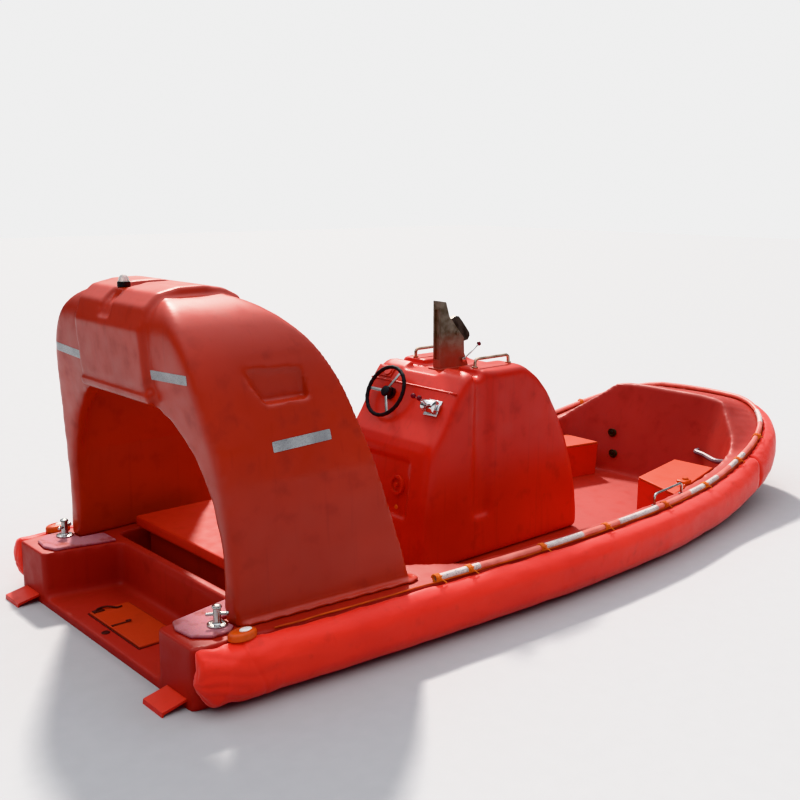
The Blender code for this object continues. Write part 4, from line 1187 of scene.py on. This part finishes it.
@dataclass
class Bollard:
    """Cross bollard: a domed post with a cross pin on a bolted base ring."""

    x: float = -2.718
    y: float = 0.905
    foot: float = 0.3486

    def build(self) -> None:
        """Make the bollard once and copy it to the other side."""
        x, y, z = self.x, self.y, self.foot
        post = turned("post", ((0.052, 0.0), (0.053, 0.002), (0.053, 0.007), (0.050, 0.009), (0.027, 0.010),
                               (0.0225, 0.014), (0.020, 0.022), (0.020, 0.090), (0.0255, 0.094),
                               (0.026, 0.099), (0.0235, 0.105), (0.016, 0.109), (0.004, 0.111)),
                      (x, y, z), sides=40)
        tip = Vector((0.052, 0.030, 0.0)).normalized()
        middle = Vector((x, y, z + 0.060))
        pin = turned("pin", ((0.005, 0.0), (0.0085, 0.002), (0.009, 0.004), (0.009, 0.102), (0.012, 0.104),
                             (0.0135, 0.109), (0.012, 0.115), (0.006, 0.118)), middle - tip * 0.058, tip, 20)
        bolts = []
        for k in range(4):
            angle = math.radians(45 + 90 * k)
            spot = (x + 0.040 * math.cos(angle), y + 0.040 * math.sin(angle), z + 0.007)
            bolts.append(turned("bolt", ((0.0062, 0.0), (0.0062, 0.0035), (0.005, 0.0048), (0.002, 0.0052)),
                                spot, sides=6))
        both_sides(joined("bollard", [post, pin, *bolts]), "cross_bollard", STAINLESS, "bollard")


@dataclass
class QuarterLight:
    """Oval orange lamp body with a milky lens."""

    x: float = -2.685
    y: float = 1.085
    foot: float = 0.3303

    def build(self) -> None:
        """Make the lamp once and copy it to the other side."""
        x, y, z = self.x, self.y, self.foot
        body = turned("lamp", ((0.046, 0.0), (0.050, 0.004), (0.050, 0.026), (0.047, 0.034), (0.040, 0.040),
                               (0.030, 0.042), (0.027, 0.038)), sides=48)
        body.data.transform(Matrix.Translation((x, y, z)) @ Matrix.Diagonal((1.6, 0.98, 1.0, 1.0)))
        lens = turned("lens", ((0.018, 0.0), (0.024, 0.001), (0.023, 0.005), (0.017, 0.009), (0.006, 0.011)),
                      sides=36)
        lens.data.transform(Matrix.Translation((x + 0.020, y, z + 0.0375))
                            @ Matrix.Diagonal((1.5, 1.0, 1.0, 1.0)))
        both_sides(body, "quarter_lamp_body", ORANGE_MOULDING, "quarter_light")
        both_sides(lens, "quarter_lamp_lens", MILKY_LENS, "quarter_light", first=False)


@dataclass
class Helm:
    """Steering wheel, throttle and trims at the console."""

    wheel_centre: Point = (-0.68, 0.17, 1.135)
    wheel_radius: float = 0.175
    wheel_tilt: float = 26.0

    def build(self) -> None:
        """Make the helm's fittings."""
        self.wheel()
        self.throttle()
        self.trims()

    def trims(self) -> None:
        """Make the bead between the two slopes of the dash and the plug under the outlet ring."""
        ends = [(-0.574, -0.405, 1.186), (-0.580, -0.37, 1.188), (-0.580, 0.37, 1.188),
                (-0.574, 0.405, 1.186)]
        dress(pipe("dash_bead", curved(ends), 0.0065, sides=3), RED_GELCOAT, "boat")
        plug = turned("console_plug", ((0.013, -0.004), (0.017, 0.0), (0.017, 0.003), (0.014, 0.007),
                                       (0.006, 0.009)), (-0.838, -0.133, 0.40), (-1, 0, 0.1), 24)
        dress(plug, ORANGE_MOULDING, "boat")

    def wheel(self) -> None:
        """Make the wheel: a gripped rim, three flat spokes and a domed hub."""
        deselect()
        bpy.ops.mesh.primitive_torus_add(major_radius=self.wheel_radius, minor_radius=0.0135,
                                         major_segments=96, minor_segments=16)
        rim = bpy.context.object
        for vertex in rim.data.vertices:
            angle = math.atan2(vertex.co.y, vertex.co.x)
            flat = Vector((vertex.co.x, vertex.co.y, 0)).normalized() * self.wheel_radius
            swell = 0.0009 * math.sin(angle * 24)
            vertex.co += (vertex.co - flat).normalized() * swell
        spokes = []
        for k in range(3):
            angle = math.radians(90 + 120 * k)
            spoke = rounded_box("spoke", (0.020, -0.011, -0.006),
                                (self.wheel_radius - 0.006, 0.011, 0.001), 0.0028)
            spoke.data.transform(Matrix.Rotation(angle, 4, "Z"))
            spokes.append(spoke)
        hub = turned("hub", ((0.036, -0.0345), (0.038, -0.030), (0.038, 0.004), (0.034, 0.010),
                             (0.022, 0.0135), (0.006, 0.014)), sides=40)
        tilt = math.radians(self.wheel_tilt)
        place = Matrix.Translation(self.wheel_centre) @ turn_to(Vector((-math.cos(tilt), 0, math.sin(tilt))))
        outward(rim)
        for part, name, finish in ((rim, "wheel_rim", BLACK_GRIP),
                                   (joined("wheel_spokes", spokes), "wheel_spokes", STAINLESS),
                                   (hub, "wheel_hub", BLACK_MOULDING)):
            part.data.transform(place)
            part.name = name
            smooth_shade(part, 40)
            dress(part, finish, "wheel")
            if part is rim:
                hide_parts("steering_wheel")

    def throttle(self) -> None:
        """Make the throttle: a chromed drum on a base with two levers and dark red knobs."""
        low, high = Vector((-0.703, 0, 0.98)), Vector((-0.578, 0, 1.189))
        up = (high - low).normalized()
        out = Vector((-up.z, 0, up.x))
        side = Vector((0, 1, 0))
        turn = Matrix((up, side, out)).transposed().to_4x4()
        heart = low.lerp(high, 0.47) + side * -0.28
        base = rounded_box("base", (-0.058, -0.062, 0.0004), (0.058, 0.066, 0.010), 0.004)
        plate = Matrix.Translation(heart) @ turn
        base.data.transform(plate)
        drum = turned("drum", ((0.034, -0.056), (0.041, -0.053), (0.043, -0.048), (0.043, -0.006),
                               (0.038, -0.004), (0.038, 0.004), (0.043, 0.006), (0.043, 0.050),
                               (0.040, 0.055), (0.030, 0.058), (0.012, 0.060)),
                      heart + out * 0.038, (0, 1, 0), 48)
        rods, knobs = [], []
        for y, head in ((-0.235, (-0.786, -0.235, 1.176)), (-0.275, (-0.765, -0.27, 1.163))):
            start = Vector((heart.x, y, heart.z)) + out * 0.038
            direction = (Vector(head) - start).normalized()
            rods.append(pipe("lever", [start + direction * 0.02, Vector(head)], 0.0055, sides=4))
            knobs.append(turned("knob", ((0.006, -0.016), (0.013, -0.013), (0.0175, -0.004), (0.0175, 0.004),
                                         (0.013, 0.013), (0.006, 0.0165)), head, direction, 24))
        clamp = rounded_box("clamp", (-0.020, -0.075, 0.006), (0.026, -0.058, 0.030), 0.004)
        clamp.data.transform(plate)
        body = dress(joined("throttle_drum", [drum, base, clamp, *rods]), CHROME, "boat")
        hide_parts("throttle_box")
        dress(joined("throttle_knobs", knobs), DARK_RED_KNOB, "boat")


@dataclass
class ReleaseLever:
    """Lever of the lifting hook: a bent rod from its lug to a ball knob."""

    foot: Point = (-0.148, -0.051, 1.328)
    knob: Point = (0.010, -0.051, 1.425)

    def build(self) -> None:
        """Make the rod with its lug and the knob."""
        foot, knob = Vector(self.foot), Vector(self.knob)
        along = (knob - foot).normalized()
        bend = foot.lerp(knob, 0.5) + Vector((0, 0, -0.004))
        rod = pipe("rod", curved([foot, bend, knob - along * 0.006]), 0.0052)
        lug = turned("lug", ((0.012, 0.0), (0.016, 0.002), (0.016, 0.014), (0.009, 0.016), (0.008, 0.021),
                             (0.005, 0.023)), foot + Vector((0, -0.012, 0)), (0, 1, 0), 24)
        arm = dress(joined("release_lever_arm", [rod, lug]), STAINLESS, "boat")
        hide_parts("release_lever")
        ball = turned("release_lever_knob", ((0.005, -0.013), (0.010, -0.011), (0.0145, -0.006),
                                             (0.0160, 0.0), (0.0145, 0.006), (0.010, 0.011),
                                             (0.004, 0.0135)), self.knob, along, 28)
        dress(ball, DARK_RED_KNOB, "boat")


@dataclass
class WellFittings:
    """Latches and drain of the stern well's hatch, and a dark ring that paints the shadow in the gap round
    it.
    """

    top: float = 0.0603
    floor: float = 0.048

    def build(self) -> None:
        """Make the latches on the hatch, the drain beside it, and the dark ring of painted shadow round it.
        """
        z = self.top
        hook = curved([(-2.834, 0.326, z + 0.003), (-2.800, 0.358, z + 0.010), (-2.745, 0.352, z + 0.012),
                       (-2.700, 0.318, z + 0.005), (-2.665, 0.322, z + 0.003)])
        plate = rounded_box("latch_plate", (-2.838, 0.270, z), (-2.770, 0.306, z + 0.006), 0.002)
        bail = pipe("latch_bail", [(p.x, p.y - 0.055, p.z) for p in hook], 0.006, sides=3)
        slot = rounded_box("latch_slot", (-2.842, 0.030, z), (-2.757, 0.048, z + 0.004), 0.0015)
        loop = curved([(-2.757, 0.036, z + 0.004), (-2.735, 0.022, z + 0.010), (-2.725, 0.045, z + 0.006),
                       (-2.750, 0.052, z + 0.004)])
        ring = pipe("lift_ring", loop, 0.004, sides=3)
        dress(joined("well_hatch_latches", [plate, bail, slot, ring]), LATCH_PAINT, "aft_hatch")
        z = self.floor
        # A dark ring on the floor round the hatch: painted shadow of the gap under the hatch's edge.
        edge = [(-2.856, -0.314, z), (-2.594, -0.314, z), (-2.594, 0.314, z), (-2.856, 0.314, z)]
        dress(pipe("well_hatch_gap_shadow", edge, 0.0055, closed=True, sides=2), GAP_SHADOW_PAINT, "boat")
        drain = turned("well_drain", ((0.020, 0.0), (0.024, 0.001), (0.024, 0.003), (0.021, 0.005),
                                      (0.012, 0.005), (0.010, 0.002), (0.003, 0.002)),
                       (-2.895, 0.006, z), sides=28)
        dress(drain, LATCH_PAINT, "boat")


@dataclass
class BowFittings:
    """Lashing eyes on the bow's inner wall, and the orange light unit on the starboard locker's lid."""

    light_foot: Point = (1.44, -0.875, 0.2973)

    def build(self, hull: Item) -> None:
        """Make the two eyes and the light unit.

        Args:
            hull: The moulding that the eyes are bolted to.
        """
        self.eyes(hull)
        self.light()

    def eyes(self, hull: Item) -> None:
        """Make the lashing eyes.

        Args:
            hull: The moulding that they are bolted to.
        """
        eyes = []
        for height in (0.33, 0.16):
            hit, spot, normal, _ = hull.ray_cast(Vector((1.95, 0.1, height)),
                                                 Vector((0.70, 0.71, 0.0)).normalized())
            if not hit:
                raise RuntimeError(f"no wall behind the eye at {height}")
            base = turned("eye_base", ((0.036, -0.002), (0.038, 0.004), (0.034, 0.010), (0.020, 0.014),
                                       (0.012, 0.020), (0.006, 0.024)), spot, normal, 24)
            side = normal.cross(UP).normalized()
            loop = [spot + normal * 0.030 + (side * math.cos(a) + UP * math.sin(a)) * 0.028
                    for a in (2 * math.pi * k / 20 for k in range(20))]
            eyes.extend((base, pipe("eye", loop, 0.0075, closed=True, sides=3)))
        dress(joined("bow_lashing_eyes", eyes), DARK_OLIVE, "boat")

    def light(self) -> None:
        """Make the light unit with its bail."""
        x, y, z = self.light_foot
        case = rounded_box("case", (x - 0.050, y - 0.038, z), (x + 0.050, y + 0.038, z + 0.034), 0.009)
        cap = turned("cap", ((0.022, 0.0), (0.024, 0.002), (0.024, 0.010), (0.018, 0.016), (0.006, 0.018)),
                     (x + 0.020, y, z + 0.033), sides=28)
        dress(joined("locker_light_unit", [case, cap]), ORANGE_MOULDING, "starboard_lid")
        bail = [(x - 0.044, y - 0.036, z + 0.012), (x - 0.078, y - 0.052, z + 0.014),
                (x - 0.086, y + 0.004, z + 0.012), (x - 0.048, y + 0.030, z + 0.014)]
        dress(pipe("locker_light_bail", curved(bail), 0.0045, sides=3), PALE_TUBE, "starboard_lid")


@dataclass
class Stage:
    """Floor, lights and camera."""

    eye: Point = (-5.28805, -5.1993, 2.52256)
    yaw: float = 48.54
    pitch: float = 11.6
    roll: float = 0.28
    lens: float = 46.836
    horizon: float = 0.10
    zenith: float = 1.85
    sun: Point = (3.2, 7.0, 8.0)
    sun_power: float = 4.7
    sun_spread: float = 5.0
    sun_colour: Point = (1.0, 0.95, 0.87)
    aim: Point = (-0.8, 0.0, 0.6)

    def build(self) -> None:
        """Set up the floor, the lights and the camera."""
        deselect()
        bpy.ops.mesh.primitive_plane_add(size=90.0, location=(0, 0, 0))
        floor = bpy.context.object
        floor.name = "studio_floor"
        floor.data.materials.append(Finish("pale_studio_floor", "#AEAEB0", "#ACACAE", 0.9).make())
        floor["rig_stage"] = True
        self.sky()
        self.lamp()
        self.camera()
        bpy.context.scene.view_settings.view_transform = "Khronos PBR Neutral"

    def sky(self) -> None:
        """Light the studio evenly and show the same pale tone as the floor behind the boat."""
        world = bpy.data.worlds.new("studio")
        bpy.context.scene.world = world
        world.use_nodes = True
        coat = Coat(world.node_tree, world.node_tree.nodes["Background"])
        coat.shader.inputs["Color"].default_value = (0.95, 0.97, 1.0, 1.0)
        way = coat.add("SeparateXYZ", links={0: coat.add("TexCoord").outputs["Generated"]})
        strength = coat.add("MapRange", values={"From Min": 0.16, "From Max": 0.95, "To Min": self.horizon,
                                                "To Max": self.zenith}, links={"Value": way.outputs["Z"]})
        coat.feed("Strength", strength.outputs["Result"])
        # The camera sees a plain white instead, as bright as the floor at the horizon.
        backdrop = coat.add("Background", values={"Color": (1.0, 1.0, 1.0, 1.0), "Strength": 1.0})
        both = coat.add("MixShader", links={0: coat.add("LightPath").outputs["Is Camera Ray"],
                                            1: coat.shader.outputs[0], 2: backdrop.outputs[0]})
        coat.tree.links.new(both.outputs[0], coat.tree.nodes["World Output"].inputs["Surface"])

    def lamp(self) -> None:
        """Add one soft far key lamp that shines towards the boat."""
        deselect()
        bpy.ops.object.light_add(type="SUN", location=self.sun)
        lamp = bpy.context.object
        lamp.name = "key"
        lamp.data.energy = self.sun_power
        lamp.data.angle = math.radians(self.sun_spread)
        lamp.data.color = self.sun_colour
        lamp.rotation_euler = (Vector(self.aim) - Vector(self.sun)).to_track_quat("-Z", "Y").to_euler()

    def camera(self) -> None:
        """Put the camera at the photograph's place and angle."""
        yaw, pitch, roll = (math.radians(a) for a in (self.yaw, self.pitch, self.roll))
        forward = Vector((math.cos(yaw) * math.cos(pitch), math.sin(yaw) * math.cos(pitch), -math.sin(pitch)))
        right = Vector((math.sin(yaw), -math.cos(yaw), 0))
        up = right.cross(forward)
        turned_right = right * math.cos(roll) + up * math.sin(roll)
        turned_up = up * math.cos(roll) - right * math.sin(roll)
        data = bpy.data.cameras.new("camera")
        data.lens = self.lens
        data.sensor_width = 36.0
        item = bpy.data.objects.new("camera", data)
        bpy.context.scene.collection.objects.link(item)
        item.matrix_world = (Matrix.Translation(self.eye)
                             @ Matrix((turned_right, turned_up, -forward)).transposed().to_4x4())
        bpy.context.scene.camera = item


NODE_FINISHES = (
    (DECK_GELCOAT, "hull_shell", "engine_box"),
    (ARCH_GELCOAT, "arch_shell"),
    (RED_GELCOAT, "console_body", "dash_panel", "outlet_ring", "port_locker", "starboard_locker",
     "port_trim_tab", "starboard_trim_tab"),
    (BENCH_GELCOAT, "engine_box_lid"),
    (HATCH_GELCOAT, "well_hatch"),
    (LID_GELCOAT, "port_locker_lid", "starboard_locker_lid"),
    (RED_CLOTH, "port_fender", "bow_fender", "starboard_fender"),
    (PALE_TUBE, "port_rail", "bow_rail", "starboard_rail", "port_aft_rail", "starboard_aft_rail"),
    (BLACK_MOULDING, "beacon_base", "steering_boss"),
    (CLEAR_DOME, "beacon_lens"),
    (BLACK_GRIP, "steering_wheel"),
    (CHROME, "throttle_box"),
    (STAINED_STAINLESS_PAINTED_REFLECTION, "port_console_handle", "starboard_console_handle"),
    (COLUMN_STEEL, "hook_column"),
    (HOOK_STEEL, "lifting_hook"),
    (STAINLESS, "release_lever", "port_bollard", "starboard_bollard", "port_grab_rail",
     "starboard_grab_rail"),
    (PALE_GRIT, "port_quarter_pad", "starboard_quarter_pad"),
    (ORANGE_MOULDING, "port_quarter_light", "starboard_quarter_light"),
    (ENGINE_PAINT, "engine_block"),
    (GREY_PAINTED_BAR, "bow_grab_bar"),
    (CAST_ALUMINIUM, "jet_housing", "jet_nozzle", "reverse_bucket"),
)


def dress_nodes(nodes: dict) -> None:
    """Give every CAD node a procedural finish.

    Args:
        nodes: The CAD nodes by name.
    """
    for finish, *names in NODE_FINISHES:
        for name in names:
            mesh = nodes[name].data
            mesh.materials.clear()
            mesh.materials.append(finish.make())


def main() -> None:
    """Load the frame and build every sub-assembly."""
    logging.basicConfig(level=logging.INFO, format="%(message)s")
    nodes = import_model()["nodes"]
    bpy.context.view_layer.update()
    dress_nodes(nodes)
    Stage().build()
    Shells().build(nodes)
    Fender().build(nodes)
    Rail(Gunwale()).build()
    ArchStrips().build(bpy.data.objects["arch_moulding"])
    Bollard().build()
    QuarterLight().build()
    Helm().build()
    ReleaseLever().build()
    WellFittings().build()
    BowFittings().build(bpy.data.objects["hull_moulding"])
    deselect()
    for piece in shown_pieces():
        LOG.info("piece %s", piece.name)


if __name__ == "__main__":
    main()
